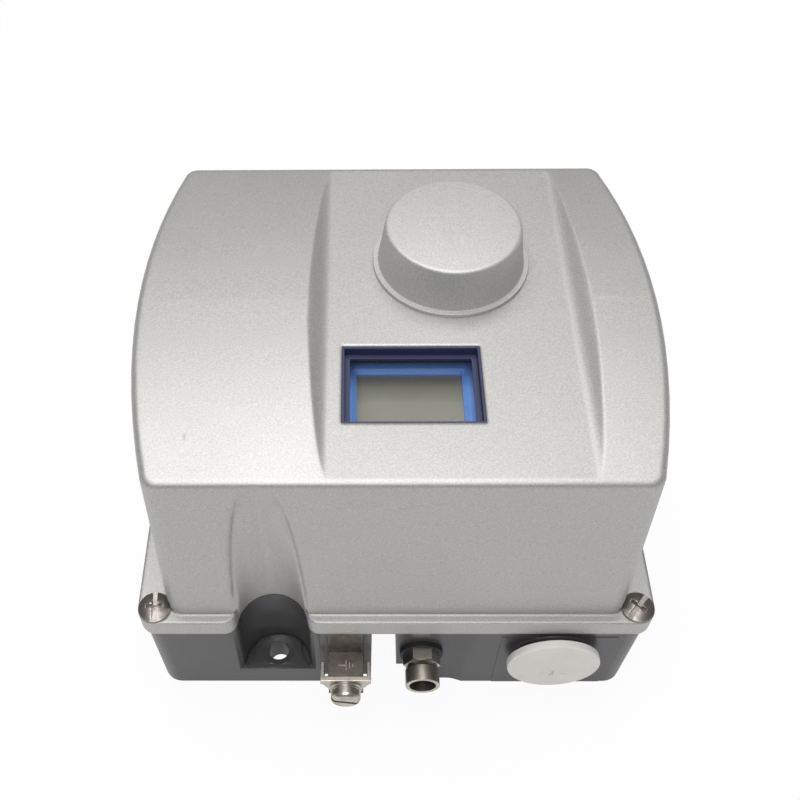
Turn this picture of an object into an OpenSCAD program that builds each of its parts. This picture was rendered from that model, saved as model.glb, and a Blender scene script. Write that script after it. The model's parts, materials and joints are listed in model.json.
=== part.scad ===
// Digital valve positioner, lying on its mounting face.
// Units are millimetres. The origin is the centre of the mounting face, +Z points to the cover,
// and the wiring, earth and exhaust side faces -Y.

/* [Housing] */
// Width of the base and of the cover flange
housing_w = 153; // [150:1:162]
// Length of the base and of the cover flange
housing_l = 134; // [132:1:142]
// Height of the base
base_h = 38; // [37:0.5:41]
// Corner radius of the cover flange
corner_r = 5.2; // [4.5:0.1:6]
// Thickness of the base wall
base_wall = 5; // [4.6:0.1:5.4]
// Thickness of the base floor
floor_t = 4; // [3:0.5:5]
// How far the base stays inside the flange at its rim
base_inset = 0.7; // [0.3:0.1:1]
// Draft of the base wall from rim to floor
base_draft = 0.8; // [0.4:0.1:1.2]

/* [Cover] */
// Height of the flat centre band above the mounting face
cover_h = 109.5; // [106:0.5:116]
// Thickness of the cover flange
flange_t = 7; // [6:0.5:9]
// Thickness of the cover wall
cover_wall = 3; // [2.5:0.1:3.5]
// Width of the ledge in front of the cover wall
ledge_w = 2.8; // [2:0.1:4]
// Lean of the front and rear walls from foot to top
wall_lean = 3.2; // [2:0.1:4]
// Width of the ledge beside the side walls at the front and rear
side_ledge = 9.5; // [8.5:0.1:11]
// Outward bow of each side wall at its middle
side_bow = 7.8; // [6:0.1:8]
// Lean of each side wall from foot to top
side_lean = 1.3; // [0.8:0.1:2]
// Rise of the arched side panels above the centre band
arch_rise = 3; // [2:0.1:4]
// Radius of the outer edges of the cover
edge_r = 2; // [1.5:0.1:3]
// Width of the flat centre band between its two creases
band_w = 67.2; // [62:0.2:72]
// Width of the rounded shoulder beside the centre band
shoulder_w = 8; // [6:0.5:10]
// Distance of the flat centre band to the right of the middle
band_x = 14.9; // [12:0.1:17]

/* [Lugs and flutes] */
// Distance of each lug from the middle of the housing
lug_x = 36.8; // [36:0.2:39]
// Distance of each lug hole from the middle of the housing
lug_hole_y = 59.5; // [58.5:0.1:60.5]
// Radius of a lug hole
lug_hole_r = 3.3; // [3:0.1:3.5]
// Thickness of a lug
lug_t = 10; // [8:0.5:14]
// Radius of the flute above each lug
flute_r = 10.5; // [9.5:0.1:11]
// Lean of the flute towards the outside, in degrees
flute_lean = 5.6; // [5:0.1:6.5]
// Radius of the rounded mouth of each flute in the flange
mouth_r = 4; // [3:0.5:5]

/* [Shaft and cap] */
// Distance of the shaft axis to the right of the middle
shaft_x = 16.3; // [14:0.1:18]
// Distance of the shaft axis behind the middle
shaft_y = 18; // [16:0.5:19]
// Radius of the feedback shaft in its bushes
shaft_r = 4; // [3.5:0.1:4.5]
// Radius of the drive end of the shaft
drive_end_r = 5; // [4.5:0.1:6]
// Length of the drive end of the shaft
drive_end_l = 7.2; // [6:0.2:7.6]
// Pitch circle diameter of the mounting threads round the shaft
flange_pcd = 50; // [48:1:52]
// Radius of the mounting threads
flange_hole_r = 2.5; // [2:0.1:3]
// Radius of the cap at its flat top
cap_top_r = 19.4; // [18:0.1:20]
// Radius of the cap just above its brim
cap_foot_r = 21.3; // [20.5:0.1:22]
// Height of the cap above the centre band
cap_h = 15; // [12:0.5:20]
// Radius of the brim of the cap
brim_r = 22.8; // [22.2:0.1:24]
// Teeth on the drive gear
drive_teeth = 34; // [32:2:36]
// Teeth on the sensor gear
sensor_teeth = 17; // [16:1:18]
// Module of the two gears
gear_module = 1; // [0.9:0.05:1.05]

/* [Window and display] */
// Width of the window opening
window_w = 37.9; // [34:0.1:40]
// Length of the window opening
window_l = 26.5; // [24:0.1:28]
// Distance of the window centre to the right of the middle
window_x = 3.55; // [1:0.05:6]
// Distance of the window centre in front of the middle
window_y = 28.35; // [27:0.05:29]
// Thickness of the window lens
lens_t = 3; // [2:0.5:4]
// Width of the dark gasket that shows inside the window
gasket_show = 2.2; // [1.5:0.1:3]
// Width of the visible display
lcd_w = 29.8; // [26:0.1:31]
// Length of the visible display
lcd_l = 25.6; // [22:0.1:26]
// Travel of each key
key_travel = 0.8; // [0.4:0.1:1]

/* [Conduit, earth and vent] */
// Distance of the conduit entry from the right side
conduit_side = 27.7; // [26.5:0.1:30]
// Height of the conduit entry
conduit_z = 23.5; // [22:0.1:23.6]
// Radius of the conduit thread
conduit_r = 10; // [8:0.1:10.5]
// Radius of the plug head
plug_r = 14.15; // [13:0.05:14.4]
// Depth of the notch that holds the earth terminal and the vent
notch_depth = 18.3; // [17:0.1:18.5]
// Distance of the earth terminal to the left of the middle
earth_x = 15; // [14:0.1:16]
// Height of the earth screw
earth_z = 17.4; // [16:0.1:18.5]
// Width of the earth block
earth_w = 10.9; // [9:0.1:12]
// Distance of the vent fitting to the right of the middle
vent_x = 8.6; // [8:0.1:9]
// Height of the vent fitting
vent_z = 21; // [20:0.1:22]

/* [Pneumatics] */
// Minor radius of the three air port threads
port_r = 5.72; // [5:0.02:6.2]
// Depth of the air port threads
port_depth = 13; // [11:0.5:15]
// Distance between neighbouring air ports
port_pitch = 26; // [24:0.5:26]
// Height of the air ports
port_z = 15.5; // [15:0.1:16.5]
// Radius of the spool lands
spool_r = 6; // [5:0.1:6.5]
// Travel of the spool to each side
spool_travel = 2; // [1:0.1:2.5]

/* [Fits] */
// Radial running fit of shafts, pins and the spool
run_fit = 0.03; // [0.02:0.01:0.08]
// Clearance between pieces that seat in each other
seat_fit = 0.1; // [0.05:0.05:0.2]
// Open seam between the base rim and the cover flange
seam = 0.3; // [0.2:0.05:0.5]

/* [Hidden] */
$fn = 72;
hull_fn = 24;
eps = 0.01;
past = 1;

// Heights of the seam and of the flange
flange_z = base_h + seam;
flange_top = flange_z + flange_t;
ceiling_z = cover_h - cover_wall;
foot_w = housing_w - 2 * side_ledge;

// Cover screws stand in the flange corners
screw_r = 2.5;
screw_head_r = 4.78;
screw_head_t = 2;
screw_x = housing_w / 2 - corner_r + 0.05;
screw_y = housing_l / 2 - corner_r + 0.3;
screw_depth = 14;

// Rim of the base and its gasket groove
rim_w = housing_w - 2 * base_inset;
rim_l = housing_l - 2 * base_inset;
rim_r = corner_r + 0.8;
rim_front = rim_l / 2;
groove_out = 1.5;
groove_in = 3.5;
groove_depth = 1.7;
wall_x = rim_w / 2 - base_wall;

// Notch in the front wall, with the earth boss on its left and the vent block on its right
notch_left = earth_x + 8;
earth_boss_right = -earth_x + 8;
vent_left = vent_x - 7.6;
vent_right = vent_x + 5.6;
notch_back = housing_l / 2 - notch_depth;
vent_block_z = vent_z - 10;
earth_boss_z = 6;
earth_front = rim_front - 0.6;
vent_front = rim_front - 1.9;

// Pads of the lugs
pad_t = 1.2;
dish_depth = 0.5;
dish_r = lug_hole_r + 2.4;

// Conduit entry in the right of the front wall
conduit_x = housing_w / 2 - conduit_side;

// Upright corners of the cover are rounder than its edges
shell_r = edge_r + 1.5;

// Flutes stand over the lugs
flute_y = lug_hole_y + 4.8;

// Seats of the shaft in the floor
recess_r = 14;
recess_depth = 9;
seal_r = 8;
seal_t = 4;
bush_t = 2.5;
bush_r = shaft_r + bush_t;
hub_r = bush_r + 3;
hub_h = 24;
drive_end_z = recess_depth - 0.3 - drive_end_l;

// Small screws of the inner pieces
m4_r = 2;
m4_head_r = 3.5;
m4_head_t = 3;
m3_r = 1.5;
m3_head_r = 2.75;
m3_head_t = 2;

// Pneumatic block against the left wall
manifold_x0 = -wall_x + seat_fit;
manifold_w = 42;
manifold_x1 = manifold_x0 + manifold_w;
manifold_mid = 8;
manifold_l = 2 * port_pitch + 24;
manifold_y0 = manifold_mid - manifold_l / 2;
manifold_y1 = manifold_mid + manifold_l / 2;
manifold_h = 22;
manifold_top = floor_t + manifold_h;
spigot_port_r = port_r + 2.8;
port_face = rim_w / 2 - base_draft - seat_fit;
valve_w = 24;
valve_h = 20;
valve_x = manifold_x0 + 2 * m4_head_r + 0.6 + valve_w / 2;
valve_l = manifold_l - 12;
valve_y0 = manifold_mid - valve_l / 2;
valve_y1 = manifold_mid + valve_l / 2;
valve_top = manifold_top + valve_h;
spool_z = manifold_top + valve_h / 2;
end_cap_t = 6;
spring_gap = 7;
spool_end_gap = 0.3;
spool_y0 = valve_y0 + spring_gap;
spool_y1 = valve_y1 - spool_end_gap;
spring_wire_r = 0.5;
spring_turns = 4;
diaphragm_t = 0.8;

// Chassis plate above the floor, between the manifold and the right wall
chassis_z = base_h + 2;
chassis_t = 2;
chassis_top = chassis_z + chassis_t;
chassis_left_gap = 4.7;
chassis_right_gap = 6.8;
chassis_x0 = manifold_x1 + chassis_left_gap;
chassis_x1 = wall_x - chassis_right_gap;
chassis_y0 = shaft_y - 54;
chassis_y1 = shaft_y + 26;
chassis_inset = 4;
post_r = 4.5;

// Gears between the hub and the chassis plate
gear_z = hub_h + 4;
gear_t = 4;
gear_hub_t = 3;
drive_pitch_r = gear_module * drive_teeth / 2;
sensor_pitch_r = gear_module * sensor_teeth / 2;
sensor_x = shaft_x + drive_pitch_r + sensor_pitch_r;
spindle_r = 3;
sensor_h = 14;
sensor_r = 11;
sensor_ear = 3;

// Shaft top, clip and pointer
clip_t = 1;
bush_lip_t = 1;
bush_lip_r = bush_r + 1.5;
clip_z = chassis_top + bush_lip_t + 0.3;
clip_groove_r = shaft_r - 0.5;
pointer_z = ceiling_z - 16;
pointer_t = 2.5;
shaft_top = pointer_z + pointer_t + 2;

// Cap spigot in the cover
spigot_r = cap_foot_r - 2;
spigot_z = ceiling_z - 3.2;
brim_t = 1.2;
cap_wall = 2.5;
o_ring_r = 0.9;
cap_clip_t = 1.2;

// Window stack under the cover, from the cover down to the clamp
window_gasket_t = 0.8;
window_margin = 3.5;
clamp_t = 1.6;
clamp_rim = 6;
lens_z = ceiling_z - window_gasket_t - lens_t;
clamp_z = lens_z - clamp_t;
window_screw_r = 1;

// Display stack, from the clamp down to its board
bezel_top = clamp_z - 2.6;
bezel_t = 2;
lcd_top = bezel_top - bezel_t;
lcd_t = 4.9;
board_t = 1.6;
display_z = lcd_top - lcd_t - board_t;
display_x0 = window_x - window_w / 2 - 3.6;
display_x1 = window_x + window_w / 2 + 18.5;
display_y0 = -notch_back + base_wall + 0.5;
display_y1 = -window_y + window_l / 2 + 4;
lcd_y1 = -window_y + window_l / 2 - 0.2;
key_w = 6;
key_gap = 1.5;
key_x = window_x + window_w / 2 + 10.5;
key_count = 4;
key_pitch = (display_y1 - display_y0 - 6) / key_count;
key_l = key_pitch - key_gap;
key_lip = 1;

// Main board and its posts on the chassis plate
main_x0 = display_x0 - 3;
main_x1 = chassis_x1 - 2;
main_y0 = chassis_y0 + 1.5;
main_y1 = chassis_y0 + 36;
main_z = chassis_top + 18;
poles = 6;
pole_pitch = 5;
terminal_w = 14;
terminal_h = 14;
terminal_x = main_x1 - terminal_w - 1;
terminal_y = main_y0 + 2;
terminal_screw_r = 1.7;
hex_post_r = 3;
post_screw_r = 1.45;
post_gap = 7;
display_post_x = [display_x0 + 4, min(display_x1 - 4, terminal_x - 10)];
display_post_y = [main_y0 + 3.5, display_y1 - 3.5];
board_post_x = [display_post_x[0] + post_gap, terminal_x - 5];
board_post_y = [main_y0 + 6.5, main_y1 - 4];

// Pilot stage on the valve body
flapper_y = valve_y0 + 26;
flapper_l = 30;
flapper_t = 1.2;
flapper_z = valve_top + 20;
flapper_barrel_r = 2.2;
flapper_pin_r = 1;
coil_y = flapper_y + 22;
coil_r = 8;
nozzle_y = flapper_y + 11;
nozzle_gap = 0.3;
coil_gap = 1;

// Colours as the object shows them
silver = [0.72, 0.72, 0.70];
black = [0.10, 0.10, 0.11];
nickel = [0.66, 0.63, 0.58];
steel = [0.75, 0.76, 0.77];
brass = [0.72, 0.58, 0.30];
white = [0.86, 0.85, 0.82];
blue = [0.25, 0.45, 0.75];
board_green = [0.10, 0.33, 0.20];
lcd_grey = [0.55, 0.56, 0.50];
rubber = [0.07, 0.07, 0.08];
key_grey = [0.80, 0.81, 0.82];

// Box between two opposite corners
module box(from, to) {
    translate(from) cube(to - from);
}

// Round bar along Z between two heights
module rod_z(r, z0, z1) {
    translate([0, 0, z0]) cylinder(r = r, h = z1 - z0);
}

// Round bar along Y, from y0 to y1
module rod_y(r, y0, y1) {
    translate([0, y0, 0]) rotate([-90, 0, 0]) cylinder(r = r, h = y1 - y0);
}

// Round bar along X, from x0 to x1
module rod_x(r, x0, x1) {
    translate([x0, 0, 0]) rotate([0, 90, 0]) cylinder(r = r, h = x1 - x0);
}

// Ring along Z between two heights
module ring_z(outer, inner, z0, z1) {
    difference() {
        rod_z(outer, z0, z1);
        rod_z(inner, z0 - past, z1 + past);
    }
}

// Rectangle with round corners, centred
module rounded_rect(w, l, r) {
    square([w - 2 * r, l], center = true);
    square([w, l - 2 * r], center = true);
    for (sx = [-1, 1], sy = [-1, 1])
        translate([sx * (w / 2 - r), sy * (l / 2 - r)]) circle(r);
}

// Copies its children to the four corners of the cover flange
module at_cover_screws() {
    for (sx = [-1, 1], sy = [-1, 1])
        translate([sx * screw_x, sy * screw_y, 0]) children();
}

// Copies its children to the two lugs, front left and rear right
module at_lugs() {
    for (turn = [0, 180]) rotate(turn) translate([-lug_x, 0, 0]) children();
}

// Plan of a lug pocket, open to the outside
module pocket_plan(margin) {
    reach = housing_l / 2;
    translate([0, -flute_y]) {
        circle(flute_r + margin);
        translate([-flute_r - margin, -reach]) square([2 * (flute_r + margin), reach]);
    }
}

// Plan of the two rounded corners at the mouth of a pocket, each running smoothly into the arch
module mouth_plan(edge_y) {
    reach = edge_y - flute_y;
    up = mouth_r - reach;
    over = up > 0 ? sqrt(pow(flute_r + mouth_r, 2) - pow(up, 2)) : flute_r + mouth_r;
    translate([0, -flute_y]) for (side = [-1, 1])
        difference() {
            polygon([[0, min(up, 0)], [side * over, up], [side * over, -reach - past],
                     [0, -reach - past]]);
            translate([side * over, up]) circle(mouth_r);
        }
}

// Plan of the inside of the housing, a margin away from everything outside
module room(margin) {
    difference() {
        rounded_rect(rim_w - 2 * margin, rim_l - 2 * margin, 1.5);
        at_lugs() pocket_plan(margin);
        at_cover_screws() circle(screw_r + margin);
        translate([-lug_x, -housing_l])
            square([lug_x + vent_right + margin, housing_l - flute_y + flute_r + margin]);
        translate([-notch_left - margin, -housing_l])
            square([notch_left + vent_right + 2 * margin, housing_l - notch_back + margin]);
    }
}

// Outer body of the base, drafted from rim to floor
module base_form() {
    foot = 2 * base_draft;
    hull() {
        linear_extrude(eps)
            rounded_rect(rim_w - foot, rim_l - foot, rim_r, $fn = hull_fn);
        translate([0, 0, base_h - eps])
            linear_extrude(eps) rounded_rect(rim_w, rim_l, rim_r, $fn = hull_fn);
    }
}

// Plan of the set-back stretch of front wall beside the vent block, with an S-shaped end
module set_back_plan() {
    depth = rim_front - vent_front;
    start = vent_right + 3.5;
    run = 8.7;
    steps = 12;
    blend = [for (i = [0 : steps])
        [start + run * i / steps, -rim_front + depth * (1 + cos(180 * i / steps)) / 2]];
    polygon(concat([[vent_left - past, -rim_front - past], [vent_left - past, -vent_front]],
        blend, [[start + run, -rim_front - past]]));
}

// Plan of the seat of a lug foot, behind a strip of front wall, shrunk by a margin
module foot_seat_plan(margin) {
    strip = 1.5;
    front = rim_front - base_draft - strip;
    intersection() {
        pocket_plan(-margin);
        translate([-flute_r, margin - front]) square([2 * flute_r, front]);
    }
}

// Plan of a lug pad, round at the rear and flared at the front, shrunk by an inset
module lug_pad_plan(inset) {
    round_r = lug_hole_r + 4.4 - inset;
    flare = flute_r - 0.3 - inset - round_r;
    front = rim_front - base_draft - 0.2 - inset;
    run = front - lug_hole_y;
    steps = 8;
    side = [for (i = [0 : steps])
        [round_r + flare * pow(i / steps, 2), -lug_hole_y - run * i / steps]];
    intersection() {
        pocket_plan(-seat_fit - inset);
        union() {
            intersection() {
                translate([0, -lug_hole_y]) circle(round_r);
                translate([-round_r, -lug_hole_y - eps]) square(2 * round_r);
            }
            polygon(concat(side, [for (i = [steps : -1 : 0]) [-side[i][0], side[i][1]]]));
        }
    }
}

// Copies its children to the four mounting threads round the shaft
module at_flange_holes() {
    for (a = [0 : 90 : 270])
        translate([shaft_x, shaft_y, 0]) rotate(a) translate([flange_pcd / 2, 0, 0]) children();
}

// Copies its children to the four posts that carry the chassis plate
module at_chassis_posts() {
    for (x = [chassis_x0 + chassis_inset, chassis_x1 - chassis_inset],
         y = [chassis_y0 + chassis_inset, chassis_y1 - chassis_inset])
        translate([x, y, 0]) children();
}

// Copies its children to the three air ports, as bars along X at the port height
module at_ports() {
    for (i = [-1 : 1]) translate([0, manifold_mid + i * port_pitch, port_z]) children();
}

// Copies its children to the four manifold screws
module at_manifold_screws() {
    for (x = [manifold_x0 + m4_head_r + 0.2, manifold_x1 - m4_head_r - 0.2],
         y = [manifold_y0 + 4, manifold_y1 - 4])
        translate([x, y, 0]) children();
}

// Moulded base: tub with lugs, notch, posts, shaft hub and conduit boss
module base_housing() {
    flange_boss_h = recess_depth + 4;
    vent_bore_r = 3.5;
    color(black) difference() {
        union() {
            difference() {
                base_form();
                translate([0, 0, floor_t]) linear_extrude(base_h) room(base_wall);
                translate([0, 0, lug_t]) linear_extrude(base_h) at_lugs() {
                    pocket_plan(0);
                    mouth_plan(rim_front);
                }
                translate([0, 0, -past]) linear_extrude(base_h) at_lugs() foot_seat_plan(0);
                box([-notch_left, -housing_l, -past], [vent_left, -notch_back, base_h + past]);
                box([vent_left - eps, -housing_l, -past], [vent_right, -notch_back, vent_block_z]);
                translate([0, 0, -past]) linear_extrude(base_h + 2 * past) set_back_plan();
            }
            box([-notch_left - eps, -earth_front, earth_boss_z],
                [earth_boss_right, -notch_back + eps, base_h]);
            conduit_panel();
            translate([shaft_x, shaft_y, 0]) {
                rod_z(recess_r + 4, eps, flange_boss_h);
                rod_z(hub_r, eps, hub_h);
            }
            at_flange_holes() rod_z(flange_hole_r + 3, eps, flange_boss_h);
            at_chassis_posts() rod_z(post_r, eps, chassis_z);
            translate([conduit_x, 0, conduit_z])
                rod_y(conduit_r + 2.5, -rim_front + base_wall - past, -rim_front + 12);
        }
        translate([0, 0, base_h - groove_depth]) linear_extrude(groove_depth + past)
            difference() {
                room(groove_out);
                room(groove_in);
            }
        at_cover_screws() rod_z(screw_r, base_h - screw_depth, base_h + past);
        translate([shaft_x, shaft_y, 0]) {
            rod_z(recess_r, -past, recess_depth);
            rod_z(seal_r, recess_depth - past, recess_depth + seal_t);
            rod_z(bush_r, recess_depth, hub_h + past);
        }
        at_flange_holes() rod_z(flange_hole_r, -past, recess_depth);
        at_chassis_posts() rod_z(m3_r, chassis_z - 8, chassis_z + past);
        translate([conduit_x, 0, conduit_z]) rod_y(conduit_r + run_fit, -housing_l, -rim_front + 13);
        at_ports() rod_x(spigot_port_r + seat_fit, -housing_w, -wall_x + past);
        at_manifold_screws() rod_z(m4_r, floor_t - 2.6, floor_t + past);
        translate([vent_x, 0, vent_z]) {
            rod_y(vent_bore_r, -housing_l, -notch_back + base_wall + past);
            rod_y(vent_thread_r, -housing_l, -vent_front + vent_thread_l + seat_fit);
        }
        earth_block_form(seat_fit);
        translate([-earth_x, 0, earth_z]) rod_y(earth_screw_r, -housing_l, -earth_front + 6);
    }
}

// Two moulded lug feet: a block in its seat, and a flared pad with a dished hole on top
module lug_feet() {
    layers = [[0.6, 0], [0.9, 0.15], [1.1, 0.4], [pad_t, 0.8]];
    color(black) at_lugs() difference() {
        union() {
            linear_extrude(lug_t + eps) foot_seat_plan(seat_fit);
            for (layer = layers)
                translate([0, 0, lug_t]) linear_extrude(layer[0]) lug_pad_plan(layer[1]);
        }
        translate([0, -lug_hole_y, 0]) {
            rod_z(lug_hole_r, -past, lug_t + pad_t + past);
            translate([0, 0, lug_t + pad_t - dish_depth])
                cylinder(h = 2 * dish_depth, r1 = lug_hole_r, r2 = 2 * dish_r - lug_hole_r);
        }
    }
}

// Slightly raised panel round the conduit entry, with a flat round seat for the plug
module conduit_panel() {
    panel_w = 35;
    panel_top = base_h - 3.5;
    proud = 0.15;
    foot_y = rim_front - base_draft + proud;
    top_y = rim_front - base_draft * (1 - panel_top / base_h) + proud;
    inner_y = rim_front - base_wall / 2;
    translate([conduit_x - 0.47 * panel_w, 0, 0]) rotate([90, 0, 90]) linear_extrude(panel_w)
        polygon([[-foot_y, 0], [-top_y, panel_top], [-inner_y, panel_top], [-inner_y, 0]]);
    translate([conduit_x, 0, conduit_z]) rod_y(plug_seat_r, -panel_face, -inner_y);
}

// Moulded rubber cord gasket in the rim groove
module cover_gasket() {
    color(rubber) translate([0, 0, base_h - groove_depth]) linear_extrude(groove_depth + seam)
        difference() {
            room(groove_out + seat_fit);
            room(groove_in - seat_fit);
        }
}

// Height of an arch or bow at a share of the way from its middle to its end, as a share of its rise
function bulge(share) = 1 - pow(share, 2);

// Point on the rounded corner at one end of a bowed side, at an angle
function side_end(half_w, half_l, round_r, end, angle) =
    let (y = end * (half_l - round_r * (1 - sin(angle))))
    [half_w - round_r * (1 - cos(angle)) + side_bow * bulge(y / half_l), y];

// Points along a bowed side of the shell, from one rounded corner to the other
function shell_side(half_w, half_l, round_r) =
    let (steps = 7, turns = 3)
    concat([for (i = [turns : -1 : 0]) side_end(half_w, half_l, round_r, -1, 90 * i / turns)],
        [for (i = [1 - steps : steps - 1])
            let (y = (half_l - round_r) * i / steps) [half_w + side_bow * bulge(y / half_l), y]],
        [for (i = [0 : turns]) side_end(half_w, half_l, round_r, 1, 90 * i / turns)]);

// Plan of the foot of the cover, shrunk by an inset, with bowed sides and round corners
module foot_plan(inset) {
    side = shell_side(foot_w / 2 - inset, housing_l / 2 - ledge_w - inset, shell_r);
    polygon(concat(side, [for (p = side) -p]));
}

// Convex body of the cover, shrunk by an inset, between its foot and its top
module cover_form(inset, rise, foot_z) {
    top_y = housing_l / 2 - ledge_w - wall_lean - inset - edge_r;
    top_w = foot_w / 2 - side_lean - inset - edge_r;
    hull() {
        for (p = shell_side(top_w, top_y, shell_r - edge_r), side = [-1, 1])
            translate([side * p[0], p[1],
                       cover_h - inset - edge_r * cos(180 / hull_fn) + rise * bulge(p[1] / top_y)])
                sphere(edge_r, $fn = hull_fn);
        translate([0, 0, foot_z]) linear_extrude(eps) foot_plan(inset);
    }
}

// Leaning round flute above a lug
module flute(margin) {
    translate([0, -flute_y, base_h]) rotate([flute_lean, 0, 0])
        rod_z(flute_r + margin, -base_h / 2, 2 * cover_h);
}

// Distance of the front wall of the cover from the middle, at a height
function wall_at(z) = housing_l / 2 - ledge_w
    - wall_lean * (z - flange_z - 2) / (cover_h - edge_r - flange_z - 2);

// Distance of the axis of a flute in front of that wall, at a height
function flute_off(z) = flute_y + tan(flute_lean) * (z - base_h) - wall_at(z);

// Bevel along the edge between a flute and the wall
module flute_bevel(width, depth) {
    steps = 10;
    start = asin(flute_off(flange_top) / flute_r);
    climb = (flute_off(cover_h) - flute_off(flange_top)) / (cover_h - flange_top);
    hull() for (i = [0 : steps]) {
        t = start + (90 - start) * i / steps;
        off = flute_r * sin(t);
        half = flute_r * cos(t);
        z = flange_top + (off - flute_off(flange_top)) / climb;
        deep = min(depth, flute_r - off);
        wall = wall_at(z);
        translate([0, 0, z]) linear_extrude(eps)
            polygon([[-half - width, -wall - 1], [-half - width, -wall], [-half, deep - wall],
                     [half, deep - wall], [half + width, -wall], [half + width, -wall - 1]]);
    }
}

// Space above the flat centre band, with an S-shaped shoulder on each side
module band_cut() {
    rise = arch_rise + 0.3;
    steps = 12;
    flank = [for (i = [0 : steps])
        [band_w / 2 + shoulder_w * i / steps, rise * (1 - cos(180 * i / steps)) / 2]];
    outer = flank[steps][0];
    sky = 3 * rise;
    translate([band_x, 0, cover_h]) rotate([90, 0, 0]) linear_extrude(housing_l, center = true)
        polygon(concat(flank, [[outer, sky], [-outer, sky]],
            [for (i = [steps : -1 : 0]) [-flank[i][0], flank[i][1]]]));
}

// Cast cover: flange, arched shell, centre band, window, cap seat and flutes
module cover() {
    color(silver) difference() {
        union() {
            translate([0, 0, flange_z]) linear_extrude(flange_t)
                rounded_rect(housing_w, housing_l, corner_r);
            cover_form(0, arch_rise, flange_z + 2);
        }
        difference() {
            cover_form(cover_wall, 0, flange_top);
            at_lugs() flute(cover_wall);
        }
        translate([0, 0, flange_z - past]) linear_extrude(flange_t + past + eps) intersection() {
            room(base_wall);
            foot_plan(cover_wall);
        }
        at_lugs() {
            flute(0);
            flute_bevel(1.9, 0.55);
            flute_bevel(0.75, 1.5);
            translate([0, 0, flange_z - past]) linear_extrude(flange_t + 2 * past)
                mouth_plan(housing_l / 2);
        }
        band_cut();
        translate([shaft_x, shaft_y, 0]) rod_z(spigot_r + seat_fit, ceiling_z - past, cover_h + past);
        translate([window_x, -window_y, 0])
            box([-window_w / 2, -window_l / 2, ceiling_z - past],
                [window_w / 2, window_l / 2, cover_h + past]);
        at_cover_screws() rod_z(screw_r + 0.2, flange_z - past, cover_h);
        at_cover_screws() rod_z(screw_head_r + seat_fit, flange_top, flange_top + 2 * screw_head_t);
        at_window_screws() rod_z(window_screw_r, ceiling_z - past, ceiling_z + 1.8);
    }
}

// Four domed screws with a slot and a cross, each turned its own way
module cover_screws() {
    slot_w = 1.5;
    slot_depth = 1.1;
    cross_w = 1.1;
    cross_l = 5;
    cross_depth = 1.6;
    turns = [[-1, -1, 94], [1, -1, 49], [-1, 1, 20], [1, 1, 72]];
    color(steel) for (turn = turns)
        translate([turn[0] * screw_x, turn[1] * screw_y, 0]) rotate(turn[2]) difference() {
            union() {
                rod_z(screw_r - run_fit, base_h - screw_depth + 2, flange_top + eps);
                dome_head(screw_head_r, screw_head_t, flange_top);
            }
            translate([0, 0, flange_top + screw_head_t]) {
                cube([2 * screw_head_r + past, slot_w, 2 * slot_depth], center = true);
                cube([cross_w, cross_l, 2 * cross_depth], center = true);
            }
        }
}

// Domed head of a screw, standing on a height
module dome_head(r, t, z) {
    dome = 0.55 * t;
    ball_r = (pow(r, 2) + pow(dome, 2)) / (2 * dome);
    translate([0, 0, z]) rotate_extrude() intersection() {
        square([r, t]);
        translate([0, t - ball_r]) circle(ball_r);
    }
}

// Head of a pan screw, standing on a height
module pan_head(r, t, z) {
    round_r = 0.45 * t;
    translate([0, 0, z]) rotate_extrude() {
        square([r - round_r, t]);
        square([r, t - round_r]);
        translate([r - round_r, t - round_r]) circle(round_r);
    }
}

// Turned cap over the shaft, hollow from below, with a brim and a grooved spigot
module indicator_cap() {
    top_edge_r = 1.2;
    top = cap_h - brim_t;
    color(silver) translate([shaft_x, shaft_y, cover_h]) rotate_extrude() difference() {
        union() {
            polygon([[0, brim_t], [cap_foot_r, brim_t],
                     [cap_top_r + 0.1, cap_h - top_edge_r], [cap_top_r - top_edge_r, cap_h], [0, cap_h]]);
            translate([cap_top_r - top_edge_r, cap_h - top_edge_r]) circle(top_edge_r);
            square([brim_r, brim_t]);
            translate([0, spigot_z - cover_h]) square([spigot_r, cover_h - spigot_z]);
        }
        translate([-past, spigot_z - cover_h - past])
            square([spigot_r - cap_wall + past, cover_h - spigot_z + cap_h - cap_wall + past]);
        translate([spigot_r - 1, ceiling_z - cover_h - cap_clip_t - 0.2])
            square([2, cap_clip_t + 0.2]);
        translate([spigot_r - o_ring_r, -cover_wall / 2]) circle(o_ring_r + seat_fit / 2);
    }
}

// Sealing ring in the groove of the cap spigot
module cap_o_ring() {
    color(rubber) translate([shaft_x, shaft_y, cover_h - cover_wall / 2]) rotate_extrude()
        translate([spigot_r - o_ring_r, 0]) circle(o_ring_r);
}

// Spring clip that holds the cap from inside
module cap_clip() {
    gap = 8;
    color(steel) translate([shaft_x, shaft_y, 0]) difference() {
        ring_z(spigot_r + 2.5, spigot_r - 1 + seat_fit, ceiling_z - cap_clip_t - seat_fit,
               ceiling_z - seat_fit);
        box([0, -gap / 2, ceiling_z - 4], [2 * spigot_r, gap / 2, ceiling_z + past]);
    }
}

// Copies its children to the four screws of the window clamp
module at_window_screws() {
    for (sx = [-1, 1], sy = [-1, 1])
        translate([window_x + sx * (window_w / 2 + clamp_rim - 1.1),
                   -window_y + sy * (window_l / 2 - 3), 0]) children();
}

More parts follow.
